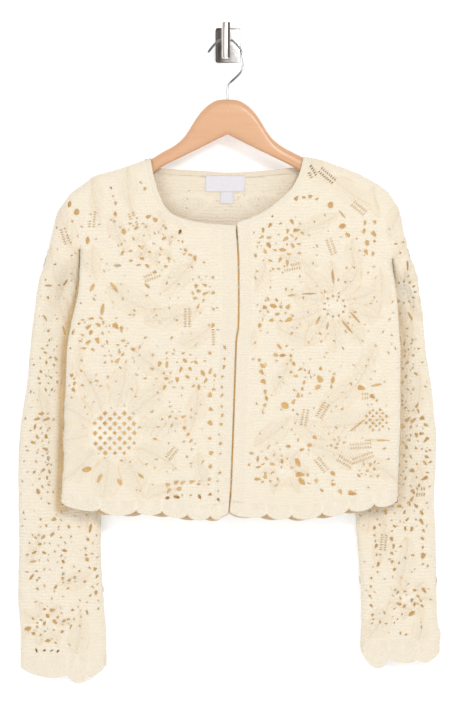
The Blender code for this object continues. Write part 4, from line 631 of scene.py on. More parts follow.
def innerShade(surface, side, x, z):  # painted shade: inside it is painted darker and warmer, and glows faintly, except where the neck lets light in
    s = shade
    if surface == "sleeve":
        return s["insideSleeve"] + s["atCuff"] * smooth(*s["cuffFalls"], z)
    neckZ = [valueAt(frontNeck["left" if v < 12 else "right"], 0, v) for v in x.tolist()]
    above = z - np.array(neckZ)
    if side < 0:
        return s["insideFront"] + s["atNeck"] * smooth(-34, -8, above) * smooth(130, 100, np.abs(x))
    tone = s["insideBack"] + s["atCentre"] * np.exp(-((x - 8) / 9.0) ** 2)
    tone = tone + s["atHem"] * smooth(*s["hemFalls"], z)
    return np.maximum(tone, s["underNeck"] * smooth(-30, 0, above) * smooth(100, 92, np.abs(x)))


# Cloth panels

def panelLoop(edges):  # the outline, moved in by half the cloth's thickness where it is folded
    insets = {"fold": cloth["thickness"] / 2, "seam": 0.0, "free": 0.0}
    corners = []
    for kind, points in edges:
        for a, b in zip(points, points[1:]):
            if math.dist(a, b) > 0.05:
                corners.append((a, b, kind))
    if sum(a[0] * b[1] - b[0] * a[1] for a, b, _ in corners) < 0:
        corners = [(b, a, kind) for a, b, kind in reversed(corners)]
    loop, kinds = [], []
    for (a, b, first), (_, c, second) in zip(corners[-1:] + corners[:-1], corners):
        n1 = Vector((-(b[1] - a[1]), b[0] - a[0])).normalized()
        n2 = Vector((-(c[1] - b[1]), c[0] - b[0])).normalized()
        s1, s2 = insets[first], insets[second]
        cross = n1.x * n2.y - n1.y * n2.x
        if abs(cross) < 0.6 and {first, second} == {"fold", "seam"}:
            move = n1 * s1 if first == "seam" else n2 * s2
        elif abs(cross) < 0.2:
            move = (n1 + n2).normalized() * max(s1, s2)
        else:
            move = Vector(((s1 * n2.y - s2 * n1.y) / cross, (n1.x * s2 - n2.x * s1) / cross))
        spot = (b[0] + move.x, b[1] + move.y)
        if loop and math.dist(loop[-1], spot) < 0.25:
            continue
        loop.append(spot)
        kinds.append((first, second, -n1, -n2))
    return loop, kinds


def treeOf(points):
    tree = KDTree(len(points))
    for i, p in enumerate(points):
        tree.insert((p[0], p[1], 0), i)
    tree.balance()
    return tree


def gapsTo(points, x, z):
    tree = treeOf(points)
    return np.array([tree.find((a, b, 0))[2] for a, b in zip(x.tolist(), z.tolist())])


def nearest(p, q):
    return np.min(np.hypot(*(p[:, None, :] - q[None, :, :]).transpose(2, 0, 1)))


def chooseHoles(loop, rows, dice):  # those that keep clear of the outline and of each other
    loopArray, taken, holes = np.array(loop), np.empty((0, 2)), []
    for outline in laceHoles(rows, dice):
        p = np.array(outline)
        if not insideLoop(loop, p[:, 0], p[:, 1]).all() or nearest(p, loopArray) < cloth["edgeToHole"]:
            continue
        close = taken[np.hypot(*(taken - p.mean(0)).T) < 16]  # farther holes can't touch this one
        if len(close) and nearest(p, close) < cloth["holeToHole"]:
            continue
        taken = np.concatenate([taken, p])
        holes.append(outline)
    return holes


# The outline, the holes, a row beside folds and rims, and a staggered grid that fills the rest
def panelPoints(loop, kinds, holes, pitch):
    points = list(loop)
    links = [(i, (i + 1) % len(loop)) for i in range(len(loop))]
    holeOf = {}
    for outline in holes:
        start = len(points)
        for i in range(len(outline)):
            holeOf[start + i] = start
            links.append((start + i, start + (i + 1) % len(outline)))
        points += outline
    tree = treeOf(points)
    for p, (first, second, out1, out2) in zip(loop, kinds):
        if first == second == "fold":
            out, step = (out1 + out2).normalized(), cloth["foldRow"]
            points.append((p[0] - out.x * step, p[1] - out.y * step))
    for outline in holes:
        ring = sideways(outline + outline[:1], -cloth["rimRow"])[:-1]
        points += [p for p in ring if tree.find((p[0], p[1], 0))[2] > 0.75]
    tree = treeOf(points)
    low, high = np.min(loop, axis=0), np.max(loop, axis=0)
    gx, gz = np.meshgrid(np.arange(low[0], high[0], pitch),
                         np.arange(low[1], high[1], pitch * cloth["rowStep"]))
    gx = (gx + (np.arange(gx.shape[0]) % 2)[:, None] * pitch / 2).ravel()
    gz = gz.ravel()
    free = insideLoop(loop, gx, gz)
    for outline in holes:
        p = np.array(outline)
        near = np.nonzero((np.abs(gx - p[0, 0]) < 20) & (np.abs(gz - p[0, 1]) < 20))[0]
        free[near] &= ~insideLoop(outline, gx[near], gz[near])
    grid = zip(gx[free].tolist(), gz[free].tolist())
    points += [p for p in grid if tree.find((p[0], p[1], 0))[2] > pitch * 0.62]
    return points, links, holeOf


def fillPanel(loop, kinds, holes, pitch):
    points, links, holeOf = panelPoints(loop, kinds, holes, pitch)
    verts, _, faces, origins, _, _ = delaunay_2d_cdt([Vector(p) for p in points], links, [], 2, 1e-5)
    flat = np.array([(v.x, v.y) for v in verts])
    faces = np.array([f for f in faces if len(f) == 3])
    own = np.array([holeOf.get(o[0], -1) if o else -1 for o in origins])[faces]
    inHole = (own[:, 0] >= 0) & (own[:, 0] == own[:, 1]) & (own[:, 1] == own[:, 2])
    faces = faces[~inHole]
    centroid = flat[faces].mean(1)
    faces = faces[insideLoop(loop, centroid[:, 0], centroid[:, 1])]
    used = np.unique(faces)
    renumbered = np.full(len(verts), -1)
    renumbered[used] = np.arange(len(used))
    index = np.array([origins[i][0] if origins[i] else -1 for i in used])
    return flat[used], renumbered[faces], index


def newPiece(name, verts, faces):
    data = bpy.data.meshes.new(name)
    data.from_pydata((verts * mm).tolist(), [], faces)
    piece = bpy.data.objects.new(name, data)
    bpy.context.collection.objects.link(piece)
    return piece


# A closed wall of cloth: an outer face with relief, an inner one, and rims between them
def shellMesh(name, middle, out, lift, faces, side, tone, innerPaintedShade, along, row, drop, seam):
    half = cloth["thickness"] / 2
    pairs = np.concatenate([faces[:, [0, 1]], faces[:, [1, 2]], faces[:, [2, 0]]])
    a, b = pairs.T
    jump = np.hypot(along[a] - along[b], row[a] - row[b])
    calm = np.ones(len(middle))  # where the run of the stitches jumps, their pattern fades out
    calm[np.unique(pairs[jump > 2.4 * np.linalg.norm(middle[a] - middle[b], axis=1) + 0.8])] = 0
    outer = middle + out * (half + lift)[:, None]
    inner = middle - out * (half - drop)[:, None]
    count = len(middle)
    tri = faces if side < 0 else faces[:, ::-1]
    edges = np.concatenate([tri[:, [0, 1]], tri[:, [1, 2]], tri[:, [2, 0]]])
    keys = edges[:, 0].astype(np.int64) * count + edges[:, 1]
    back = edges[:, 1].astype(np.int64) * count + edges[:, 0]
    rim = edges[~np.isin(keys, back)]
    quads = np.stack([rim[:, 1], rim[:, 0], rim[:, 0] + count, rim[:, 1] + count], axis=1)
    piece = newPiece(name, np.concatenate([outer, inner]),
                     tri.tolist() + (tri[:, ::-1] + count).tolist() + quads.tolist())
    data = piece.data
    data.polygons.foreach_set("use_smooth", np.ones(len(data.polygons), bool))
    ends = np.empty(len(data.edges) * 2, np.int32)
    data.edges.foreach_get("vertices", ends)
    ends = ends.reshape(-1, 2)
    sharp = np.isin(ends.min(1).astype(np.int64) * 2 * count + ends.max(1),
                    rim.min(1).astype(np.int64) * 2 * count + rim.max(1))
    sharp[sharp] &= seam[ends[sharp]].all(1)
    flow = np.stack([along, row, calm], axis=1)
    inside = flow + [31, 31, 0]  # the stitches of the inner face start at another place
    for kind, form, domain, slot, values in (
            ("sharp_edge", "BOOLEAN", "EDGE", "value", sharp),
            ("tone", "FLOAT", "POINT", "value", np.concatenate([tone, innerPaintedShade]).astype(np.float32)),
            ("stitch", "FLOAT_VECTOR", "POINT", "vector",
             np.concatenate([flow, inside]).astype(np.float32).ravel())):
        data.attributes.new(kind, form, domain).data.foreach_set(slot, values)
    data.update()
    return piece


panels = {}


def buildPanel(name, surface, side, edges, pitch, finish, rows=()):
    loop, kinds = panelLoop(edges)
    holes = chooseHoles(loop, rows, random.Random(len(name) * 7 + len(rows)))
    flat, faces, index = fillPanel(loop, kinds, holes, pitch)
    x, z = flat[:, 0], flat[:, 1]
    middle, out = clothPoints(surface, side, x, z)
    drop, seam = np.zeros(len(x)), np.zeros(len(x), bool)
    for i in np.nonzero((index >= 0) & (index < len(loop)))[0]:
        first, second, out1, out2 = kinds[index[i]]
        if "fold" in (first, second):
            middle[i, 1] = layerDepth(surface, side, x[i:i + 1], z[i:i + 1])[1][0]
            way = (out1 + out2).normalized() if first == second else (out1 if first == "fold" else out2)
            out[i] = (way.x, 0, way.y)
        elif "free" in (first, second):
            drop[i] = relief["edgeDrop"]
        seam[i] = "free" not in (first, second)
    lift, tone, along, row = finish(x, z)
    if holes:
        gap = gapsTo([p for outline in holes for p in outline], x, z)
        lift = lift + relief["rim"] * np.exp(-((gap - 1.3) / 0.9) ** 2)
        lift = lift - relief["rimDip"] * np.exp(-(gap / 0.5) ** 2)
        # painted shade at the edge of each hole
        tone = tone - paint["rim"] * np.exp(-(gap / 0.6) ** 2)
    blend = smooth(0.2, 3.0, gapsTo([p for p, k in zip(loop, kinds) if "seam" in k[:2]], x, z))
    lift, tone = lift * blend - drop, paint["seam"] + (tone - paint["seam"]) * blend
    # painted shade beside the body's fold, no lower than stripLimit, where it just starts to glow
    if surface == "sleeve" and side < 0:
        tone = np.minimum(tone, np.maximum(tone - sleeveShade(x, z), shade["stripLimit"]))
    piece = shellMesh(name, middle, out, lift, faces, side, np.clip(tone, 0, 1),
                      innerShade(surface, side, x, z), along, row, drop, seam)
    area = abs(sum(a[0] * b[1] - b[0] * a[1] for a, b in zip(loop, loop[1:] + loop[:1]))) / 2 * 1e-6
    width, length = (np.max(loop, axis=0) - np.min(loop, axis=0)) * mm
    if area < 0.32 * width * length:  # a strip that is bent round the neck is cut straight
        width, length = area / (cloth["neckEdging"] * mm), 1.5 * cloth["neckEdging"] * mm
    panels[name] = {"piece": piece, "flat": (width, length), "area": min(area, width * length),
                    "holes": len(holes)}
    print(name, "holes", len(holes), "faces", len(piece.data.polygons))


def scallopLine(cusps, hem, first, last):
    out = []
    depth = cloth["scallopDepth"]
    for a, b in zip(cusps, cusps[1:]):
        for i in range(16):
            u = -math.cos(math.pi * i / 16)
            x = (a + b) / 2 + u * (b - a) / 2
            out.append((x, valueAt(hem, 0, x) + depth * (1 - math.sqrt(max(0.0, 1 - u * u)))))
    x = cusps[-1]
    out.append((x, valueAt(hem, 0, x) + depth))
    out[0] = first
    if last:
        out[-1] = last
    return out


def cuffLine(rows):
    out = []
    for x0, z0, x1, z1, lowest in rows:
        for i in range(16):
            t = i / 16
            low = lowest - (z0 + z1) / 2
            out.append((x0 + (x1 - x0) * t, z0 + (z1 - z0) * t + low * math.sin(math.pi * t) ** 0.7))
    return out + [(rows[-1][2], rows[-1][3])]


def garmentLines():
    fine = cloth["finePitch"]
    names = ("shoulder", "sleeveTop", "sideTop", "sideLow", "neckFold", "panelFold")
    g = {name: {} for name in names}
    for name, table in (("outer", outerLine), ("inner", innerLine), ("side", sideLine), ("arm", armhole)):
        g[name] = {s: curveThrough(table[s], fine) for s in sign}
    g["hem"] = curveThrough(hemLine, fine)
    g["hemSeam"] = [(p[0], p[1] + cloth["hemEdging"]) for p in g["hem"]]

    def folds(name, way=1):
        inset = way * cloth["thickness"] / 2
        return [sideways(g[name][s][::4] + g[name][s][-1:], inset * sign[s]) for s in sign]

    foldLines["body"] = folds("outer") + folds("side")
    foldLines["sleeve"] = folds("outer") + folds("inner", -1)
    for s in sign:
        g["shoulder"][s], g["sleeveTop"][s] = splitLine(g["outer"][s], g["arm"][s][0][0], 0)
        g["arm"][s][0] = g["shoulder"][s][-1]
        corner = valueAt(g["hemSeam"], 0, g["side"][s][-1][0])
        g["sideTop"][s], g["sideLow"][s] = splitLine(g["side"][s], corner, 1)
        startX = g["shoulder"][s][0][0] - cloth["neckEdging"] * sign[s]
        g["neckFold"][s], g["panelFold"][s] = splitLine(g["shoulder"][s], startX, 0)
    return g


def buildFront(g, s):
    fine, trim, way = cloth["finePitch"], cloth["trimPitch"], sign[s]
    wide = cloth["bandLeft"] if s == "left" else -cloth["bandRight"]
    edge = [(p[0] - (cloth["centreGap"] if s == "left" else 0), p[1]) for p in centreEdge]
    edge = curveThrough(edge, fine)
    band = [(p[0] - wide, p[1]) for p in edge]
    neck = curveThrough(frontNeck[s], fine)
    neckSeam = sideways(neck, -cloth["neckEdging"] * way)
    neckSeam[0] = g["neckFold"][s][-1]
    seamEnd = (valueAt(edge, 1, neckSeam[-1][1]), neckSeam[-1][1])
    neck = [p for p in neck[:-1] if abs(p[0] - seamEnd[0]) > 1.2]
    neck.append((valueAt(edge, 1, frontNeck[s][-1][1]), frontNeck[s][-1][1]))
    neckSeam = [p for p in neckSeam if (seamEnd[0] - p[0]) * way > 1.2] + [seamEnd]
    seamMain, seamBand = splitLine(neckSeam, valueAt(band, 1, seamEnd[1]), 0)
    bandTop = seamMain[-1]
    lowZ = valueAt(g["hemSeam"], 0, band[-1][0])
    bandLow = (valueAt(band, 1, lowZ), lowZ)
    lowZ = valueAt(g["hemSeam"], 0, edge[-1][0])
    edgeLow = (valueAt(edge, 1, lowZ), lowZ)
    bandMid = [p for p in band if bandLow[1] + 1 < p[1] < bandTop[1] - 1]
    edgeMid = [p for p in edge if edgeLow[1] + 1 < p[1] < seamEnd[1] - 1]
    corner = g["sideTop"][s][-1]
    lowX, highX = sorted((corner[0], bandLow[0]))
    hemRun = [p for p in g["hemSeam"] if lowX + 1 < p[0] < highX - 1]
    hemRun = [corner] + hemRun[::way] + [bandLow]
    key = "front_" + s
    buildPanel(key, "body", -1, [
        ("fold", g["panelFold"][s]), ("seam", g["arm"][s]), ("fold", g["sideTop"][s]),
        ("seam", hemRun), ("seam", [bandLow] + bandMid[::-1] + [bandTop]), ("seam", seamMain[::-1]),
    ], fine, lambda x, z: worked(key, x, z), lace[key])
    buildPanel("front_band_" + s, "body", -1, [
        ("seam", [bandTop] + bandMid + [bandLow]), ("seam", [bandLow, edgeLow]),
        ("free", [edgeLow] + edgeMid[::-1] + [seamEnd]), ("seam", seamBand[::-1]),
    ], trim, bandWork, lace.get("front_band_" + s, ()))
    buildPanel("neck_edging_" + s, "body", -1, [
        ("fold", g["neckFold"][s]), ("seam", seamMain + seamBand[1:]),
        ("free", [seamEnd, neck[-1]]), ("free", neck[::-1]),
    ], trim, lambda x, z: neckWork(neck, x, z))
    bottom = scallopLine(hemCusps[s][::way], g["hem"], g["sideLow"][s][-1], None)
    buildPanel("hem_edging_" + s, "body", -1, [
        ("fold", g["sideLow"][s]), ("free", bottom), ("free", [bottom[-1], edgeLow]),
        ("seam", (hemRun + [edgeLow])[::-1]),
    ], trim, lambda x, z: shellWork(hemCusps[s], g["hem"], cloth["hemEdging"], x, z))


def buildBack(g):
    trim = cloth["trimPitch"]

    def between(line, start, end):
        return [start] + [p for p in line if start[0] + 1 < p[0] < end[0] - 1] + [end]

    neck = curveThrough(backNeck, cloth["finePitch"])
    neckSeam = between(sideways(neck, -cloth["neckEdging"]), *(g["panelFold"][s][0] for s in sign))
    hemRun = between(g["hemSeam"], *(g["sideTop"][s][-1] for s in sign))
    left, right = ({name: g[name][s] for name in g if s in g[name]} for s in sign)
    buildPanel("back", "body", 1, [
        ("fold", left["panelFold"]), ("seam", left["arm"]), ("fold", left["sideTop"]),
        ("seam", hemRun), ("fold", right["sideTop"][::-1]), ("seam", right["arm"][::-1]),
        ("fold", right["panelFold"][::-1]), ("seam", neckSeam[::-1]),
    ], cloth["backPitch"], lambda x, z: worked("back", x, z), lace["back"])
    buildPanel("neck_edging_back", "body", 1, [
        ("fold", left["neckFold"]), ("seam", neckSeam), ("fold", right["neckFold"][::-1]),
        ("free", neck[::-1]),
    ], trim, lambda x, z: neckWork(neck, x, z))
    start, end, count = hemCusps["left"][0], hemCusps["right"][-1], cloth["backScallops"]
    cusps = [start + (end - start) / count * i for i in range(count + 1)]
    lower = [(p[0], p[1] - cloth["backHemDrop"]) for p in g["hem"]]
    buildPanel("hem_edging_back", "body", 1, [
        ("fold", left["sideLow"]), ("free", scallopLine(cusps, lower, left["sideLow"][-1],
                                                        right["sideLow"][-1])),
        ("fold", right["sideLow"][::-1]), ("seam", hemRun[::-1]),
    ], trim * 1.2, lambda x, z: shellWork(cusps, g["hem"], cloth["hemEdging"], x, z))


def buildSleeve(g, s):
    fine, scallops = cloth["finePitch"], cuffScallops[s]
    start, end = g["outer"][s][-1], g["inner"][s][-1]
    across, low = curveThrough([start, end], fine), cuffLine(scallops)
    cuffHem = sorted([row[:2] for row in scallops] + [scallops[-1][2:4]])
    cusps = [p[0] for p in cuffHem]
    for half, side, pitch in (("front", -1, fine), ("back", 1, cloth["backPitch"])):
        key = "sleeve_%s_%s" % (s, half)
        buildPanel(key, "sleeve", side, [
            ("fold", g["sleeveTop"][s]), ("seam", across), ("fold", g["inner"][s][::-1]),
            ("seam", g["arm"][s][::-1]),
        ], pitch, lambda x, z: worked(key, x, z), lace[key])
        buildPanel("cuff_edging_%s_%s" % (s, half), "sleeve", side, [
            ("fold", curveThrough([start, low[0]], fine)), ("free", low),
            ("fold", curveThrough([low[-1], end], fine)), ("seam", across[::-1]),
        ], cloth["trimPitch"], lambda x, z: shellWork(cusps, cuffHem, cloth["cuffEdging"], x, z))


# Materials

# painted shade: valley sets how far the stitch hollows darken towards tan, a low tone darkens towards deep;
# painted light: glow and glowPale, below glowTones
cottonLook = {
    "rowPitch": 4.4, "stitchWidth": 3.2, "bump": 0.75, "valley": 0.13,
    "yellow": (0.63, 0.583, 0.473), "pink": (0.645, 0.588, 0.505), "tan": (0.56, 0.44, 0.27),
    "deep": (0.48, 0.29, 0.10), "glow": (0.22, 0.15, 0.045), "glowPale": (0.56, 0.45, 0.235),
    "glowTones": (0.12, 0.34),
}
edgingLook = {
    **cottonLook, "rowPitch": 3.4, "stitchWidth": 3.0, "bump": 0.65, "valley": 0.11,
    "yellow": (0.62, 0.568, 0.455), "pink": (0.63, 0.568, 0.485),
}
satinLook = {"dull": (0.52, 0.50, 0.53), "pale": (0.575, 0.56, 0.585), "warp": 9000.0, "weft": 7000.0}
woodLook = {"pale": (0.56, 0.325, 0.185), "dark": (0.46, 0.24, 0.12), "streak": (0.41, 0.20, 0.10),
            "grain": (9.0, 120.0, 120.0), "grainTurn": (0.0, 0.25, 0.0)}
chromeLook = {  # painted reflections and highlights, in bands: the axis that they cross, then place in millimetres and colour
    "Bar": (0, [(-7.4, (0.62, 0.57, 0.55)), (-4.7, (0.55, 0.49, 0.46)), (-4.0, (0.24, 0.18, 0.16)),
                (-3.2, (0.74, 0.7, 0.68)), (-1.7, (0.9, 0.9, 0.9)), (0.3, (0.96, 0.96, 0.96)),
                (0.8, (0.09, 0.065, 0.06)), (2.6, (0.13, 0.1, 0.09)), (3.8, (0.32, 0.27, 0.24))]),
    "Plate": (0, [(-15.6, (0.34, 0.31, 0.31)), (-13.4, (0.10, 0.085, 0.08)), (-9.5, (0.14, 0.11, 0.1)),
                  (-3.0, (0.45, 0.41, 0.39)), (5.0, (0.7, 0.66, 0.64)), (12.0, (0.92, 0.9, 0.89)),
                  (17.6, (1.0, 0.99, 0.98))]),
    "Wire": (2, [(-84.0, (0.5, 0.5, 0.51)), (-54.0, (0.58, 0.58, 0.59)), (-50.5, (0.2, 0.2, 0.21)),
                 (-41.0, (0.28, 0.28, 0.29)), (-35.0, (0.6, 0.6, 0.61)), (-17.0, (0.5, 0.5, 0.51)),
                 (-12.0, (0.13, 0.13, 0.14)), (3.5, (0.26, 0.26, 0.27))]),
}


def newMaterial(name, constants):
    material = bpy.data.materials.new(name)
    material.use_nodes = True
    tree = material.node_tree
    shader = tree.nodes["Principled BSDF"].inputs
    for socket, value in constants.items():
        shader[socket].default_value = value
    return material, tree, shader, tree.nodes.new("ShaderNodeTexCoord").outputs["Object"]


def addNode(tree, kind, where=None, **values):
    node = tree.nodes.new(kind)
    for name, value in values.items():
        if name in node.inputs:
            node.inputs[name].default_value = value
        else:
            setattr(node, name, value)
    if where is not None:
        tree.links.new(where, node.inputs[0])
    return node


def noiseAt(tree, where, scale, detail, roughness=0.5):
    return addNode(tree, "ShaderNodeTexNoise", where, Scale=scale, Detail=detail,
                   Roughness=roughness).outputs[0]


def mathNode(tree, operation, first, second=None):
    node = addNode(tree, "ShaderNodeMath", operation=operation)
    for socket, value in zip(node.inputs, (first, second)):
        if isinstance(value, (int, float)):
            socket.default_value = value
        elif value is not None:
            tree.links.new(value, socket)
    return node.outputs[0]


def scaled(tree, source, factor, start):
    return mathNode(tree, "ADD", mathNode(tree, "MULTIPLY", source, factor), start)


def wave(tree, source, factor):
    return mathNode(tree, "SINE", mathNode(tree, "MULTIPLY", source, factor))


def mixColour(tree, factor, first, second, blend="MIX"):
    node = addNode(tree, "ShaderNodeMix", data_type="RGBA", blend_type=blend)
    slots = [s for s in node.inputs if s.type == "RGBA"]
    for slot, value in zip([node.inputs[0]] + slots, (factor, first, second)):
        if isinstance(value, tuple):
            slot.default_value = (*value, 1.0)
        elif isinstance(value, float):
            slot.default_value = value
        else:
            tree.links.new(value, slot)
    return [s for s in node.outputs if s.type == "RGBA"][0]


def standOut(tree, shader, height, strength, distance):
    bump = addNode(tree, "ShaderNodeBump", Strength=strength, Distance=distance)
    tree.links.new(height, bump.inputs["Height"])
    tree.links.new(bump.outputs[0], shader["Normal"])


def makeStitchGroup():  # rows of looped stitches along a run given in millimetres
    group = bpy.data.node_groups.new("loopedStitches", "ShaderNodeTree")
    for name, way, kind in (("Run", "INPUT", "Vector"), ("Row Pitch", "INPUT", "Float"),
                            ("Stitch Width", "INPUT", "Float"), ("Height", "OUTPUT", "Float"),
                            ("Valley", "OUTPUT", "Float")):
        group.interface.new_socket(name, in_out=way, socket_type="NodeSocket" + kind)
    start, end = group.nodes.new("NodeGroupInput"), group.nodes.new("NodeGroupOutput")
    along, row, calm = addNode(group, "ShaderNodeSeparateXYZ", start.outputs["Run"]).outputs
    rows = mathNode(group, "DIVIDE", row, start.outputs["Row Pitch"])
    rowWave = mathNode(group, "ABSOLUTE", wave(group, rows, math.pi))
    across = mathNode(group, "DIVIDE", along, start.outputs["Stitch Width"])
    loops = mathNode(group, "ADD", across, mathNode(group, "MULTIPLY", rowWave, 0.45))
    loopWave = mathNode(group, "ABSOLUTE", wave(group, loops, math.pi))
    height = mathNode(group, "MULTIPLY", mathNode(group, "POWER", rowWave, 0.6),
                      scaled(group, loopWave, 0.6, 0.4))
    # the valley is painted as shade in the stitch hollows by the crochet material
    valley = mathNode(group, "MULTIPLY", mathNode(group, "SUBTRACT", 1.0, height), calm)
    group.links.new(mathNode(group, "SUBTRACT", 1.0, valley), end.inputs["Height"])
    group.links.new(valley, end.inputs["Valley"])
    return group


def makeCrochet(name, group, look):
    material, tree, shader, place = newMaterial(name, {
        "Sheen Weight": 0.25, "Sheen Roughness": 0.6, "Specular IOR Level": 0.2,
        "Emission Strength": 1.0})
    run = addNode(tree, "ShaderNodeAttribute", attribute_name="stitch").outputs["Vector"]
    tone = addNode(tree, "ShaderNodeAttribute", attribute_name="tone").outputs["Fac"]
    stitches = addNode(tree, "ShaderNodeGroup", node_tree=group)
    stitches.inputs["Row Pitch"].default_value = look["rowPitch"]
    stitches.inputs["Stitch Width"].default_value = look["stitchWidth"]
    tree.links.new(run, stitches.inputs["Run"])
    fibre = noiseAt(tree, place, 1400.0, 3.0)
    base = mixColour(tree, noiseAt(tree, place, 38.0, 2.0), look["yellow"], look["pink"])
    # painted shade: the hollows between the stitches are tinted towards tan
    shaded = mathNode(tree, "MULTIPLY", stitches.outputs["Valley"], look["valley"])
    base = mixColour(tree, shaded, base, look["tan"])
    # painted shade: a low tone turns the colour towards the gold of shade
    pale = addNode(tree, "ShaderNodeMapRange", tone)
    tree.links.new(mixColour(tree, pale.outputs[0], look["deep"], base), shader["Base Color"])
    inside = addNode(tree, "ShaderNodeMapRange", tone)  # painted light: only the inner faces and the rims glow, as if lit through the lace
    for socket, value in zip(("From Min", "From Max", "To Min", "To Max"), (*look["glowTones"], 1.0, 0.0)):
        inside.inputs[socket].default_value = value
    lit = mixColour(tree, noiseAt(tree, place, 90.0, 1.0), look["glow"], look["glowPale"])
    tree.links.new(mixColour(tree, inside.outputs[0], (0.0, 0.0, 0.0), lit), shader["Emission Color"])
    tree.links.new(scaled(tree, fibre, 0.12, 0.84), shader["Roughness"])
    yarn = mathNode(tree, "ADD", stitches.outputs["Height"], mathNode(tree, "MULTIPLY", fibre, 0.35))
    standOut(tree, shader, yarn, look["bump"], 0.0007)
    return material


def makeLabelSatin():
    material, tree, shader, place = newMaterial("wovenLabel", {"Sheen Weight": 0.15})
    split = addNode(tree, "ShaderNodeSeparateXYZ", place)
    weave = mathNode(tree, "MULTIPLY", wave(tree, split.outputs[0], satinLook["warp"]),
                     wave(tree, split.outputs[2], satinLook["weft"]))
    noise = noiseAt(tree, place, 220.0, 2.0)
    tree.links.new(mixColour(tree, noise, satinLook["dull"], satinLook["pale"]), shader["Base Color"])
    tree.links.new(scaled(tree, noise, 0.2, 0.4), shader["Roughness"])
    standOut(tree, shader, weave, 0.35, 0.0002)
    return material


def makeWood():
    material, tree, shader, place = newMaterial("hangerWood", {"Coat Weight": 0.25, "Coat Roughness": 0.25})
    stretch = addNode(tree, "ShaderNodeMapping", place, Scale=woodLook["grain"],
                      Rotation=woodLook["grainTurn"]).outputs[0]
    grain = noiseAt(tree, stretch, 1.0, 4.0, 0.6)
    streak = noiseAt(tree, stretch, 6.0, 2.0)
    base = mixColour(tree, grain, woodLook["pale"], woodLook["dark"])
    dark = mathNode(tree, "MULTIPLY", mathNode(tree, "POWER", streak, 3.0), 0.5)
    tree.links.new(mixColour(tree, dark, base, woodLook["streak"]), shader["Base Color"])
    tree.links.new(scaled(tree, grain, 0.2, 0.32), shader["Roughness"])
    standOut(tree, shader, streak, 0.12, 0.0004)
    return material


def makeChrome(part):
    axis, stops = chromeLook[part]
    material, tree, shader, place = newMaterial("chrome" + part, {"Metallic": 1.0})
    smear = noiseAt(tree, place, 140.0, 3.0)
    split = addNode(tree, "ShaderNodeSeparateXYZ", place)
    low, high = stops[0][0], stops[-1][0]
    spot = mathNode(tree, "DIVIDE", mathNode(tree, "SUBTRACT", split.outputs[axis], low * mm),
                    (high - low) * mm)
    # painted reflections: colour bands across the part stand in for the studio seen in the metal
    reflectionBands = addNode(tree, "ShaderNodeValToRGB", spot)
    ramp = reflectionBands.color_ramp.elements
    for at, _ in stops[1:-1]:
        ramp.new((at - low) / (high - low))
    for stop, (_, colour) in zip(ramp, stops):
        stop.color = (*colour, 1.0)
    worn = mixColour(tree, smear, (0.86, 0.86, 0.86), (1.0, 1.0, 1.0))
    tree.links.new(mixColour(tree, 1.0, reflectionBands.outputs[0], worn, "MULTIPLY"), shader["Base Color"])
    tree.links.new(scaled(tree, smear, 0.1, 0.16), shader["Roughness"])
    standOut(tree, shader, smear, 0.03, 0.0003)
    return material


def selectOnly(piece):
    bpy.ops.object.select_all(action="DESELECT")
    piece.select_set(True)
    bpy.context.view_layer.objects.active = piece


def smoothByAngle(piece, degrees):
    selectOnly(piece)
    bpy.ops.object.shade_smooth_by_angle(angle=math.radians(degrees))


def faceOutwards(piece, merge=False):
    selectOnly(piece)
    bpy.ops.object.mode_set(mode="EDIT")
    bpy.ops.mesh.select_all(action="SELECT")
    if merge:
        bpy.ops.mesh.remove_doubles(threshold=0.00001)
    bpy.ops.mesh.normals_make_consistent(inside=False)
    bpy.ops.object.mode_set(mode="OBJECT")


def applyAll(piece):
    selectOnly(piece)
    for mod in list(piece.modifiers):
        bpy.ops.object.modifier_apply(modifier=mod.name)
    bpy.ops.object.transform_apply(location=True, rotation=True, scale=True)


def selectParts(piece, kind, wanted):  # leaves edit mode with only these faces or edges selected
    bpy.ops.object.mode_set(mode="EDIT")
    bpy.ops.mesh.select_all(action="DESELECT")
    bpy.ops.object.mode_set(mode="OBJECT")
    for part in getattr(piece.data, kind):
        part.select = wanted(part)
    bpy.ops.object.mode_set(mode="EDIT")


def softenEdges(piece, width, segments):
    bevel = piece.modifiers.new("edges", "BEVEL")
    bevel.width, bevel.segments, bevel.limit_method = width * mm, segments, "ANGLE"
    applyAll(piece)
    smoothByAngle(piece, 40)


# The label and the size tab, blank, sewn inside the back of the neck

label = {"x": -28.0, "top": -170.6, "width": 50.0, "height": 20.0, "thickness": 0.8, "mesh": 0.8,
         "tabX": -9.0, "tabWidth": 16.0, "tabHeight": 15.0, "gap": 0.3,
         "fold": 0.35, "stitch": 0.18, "puff": 0.12}


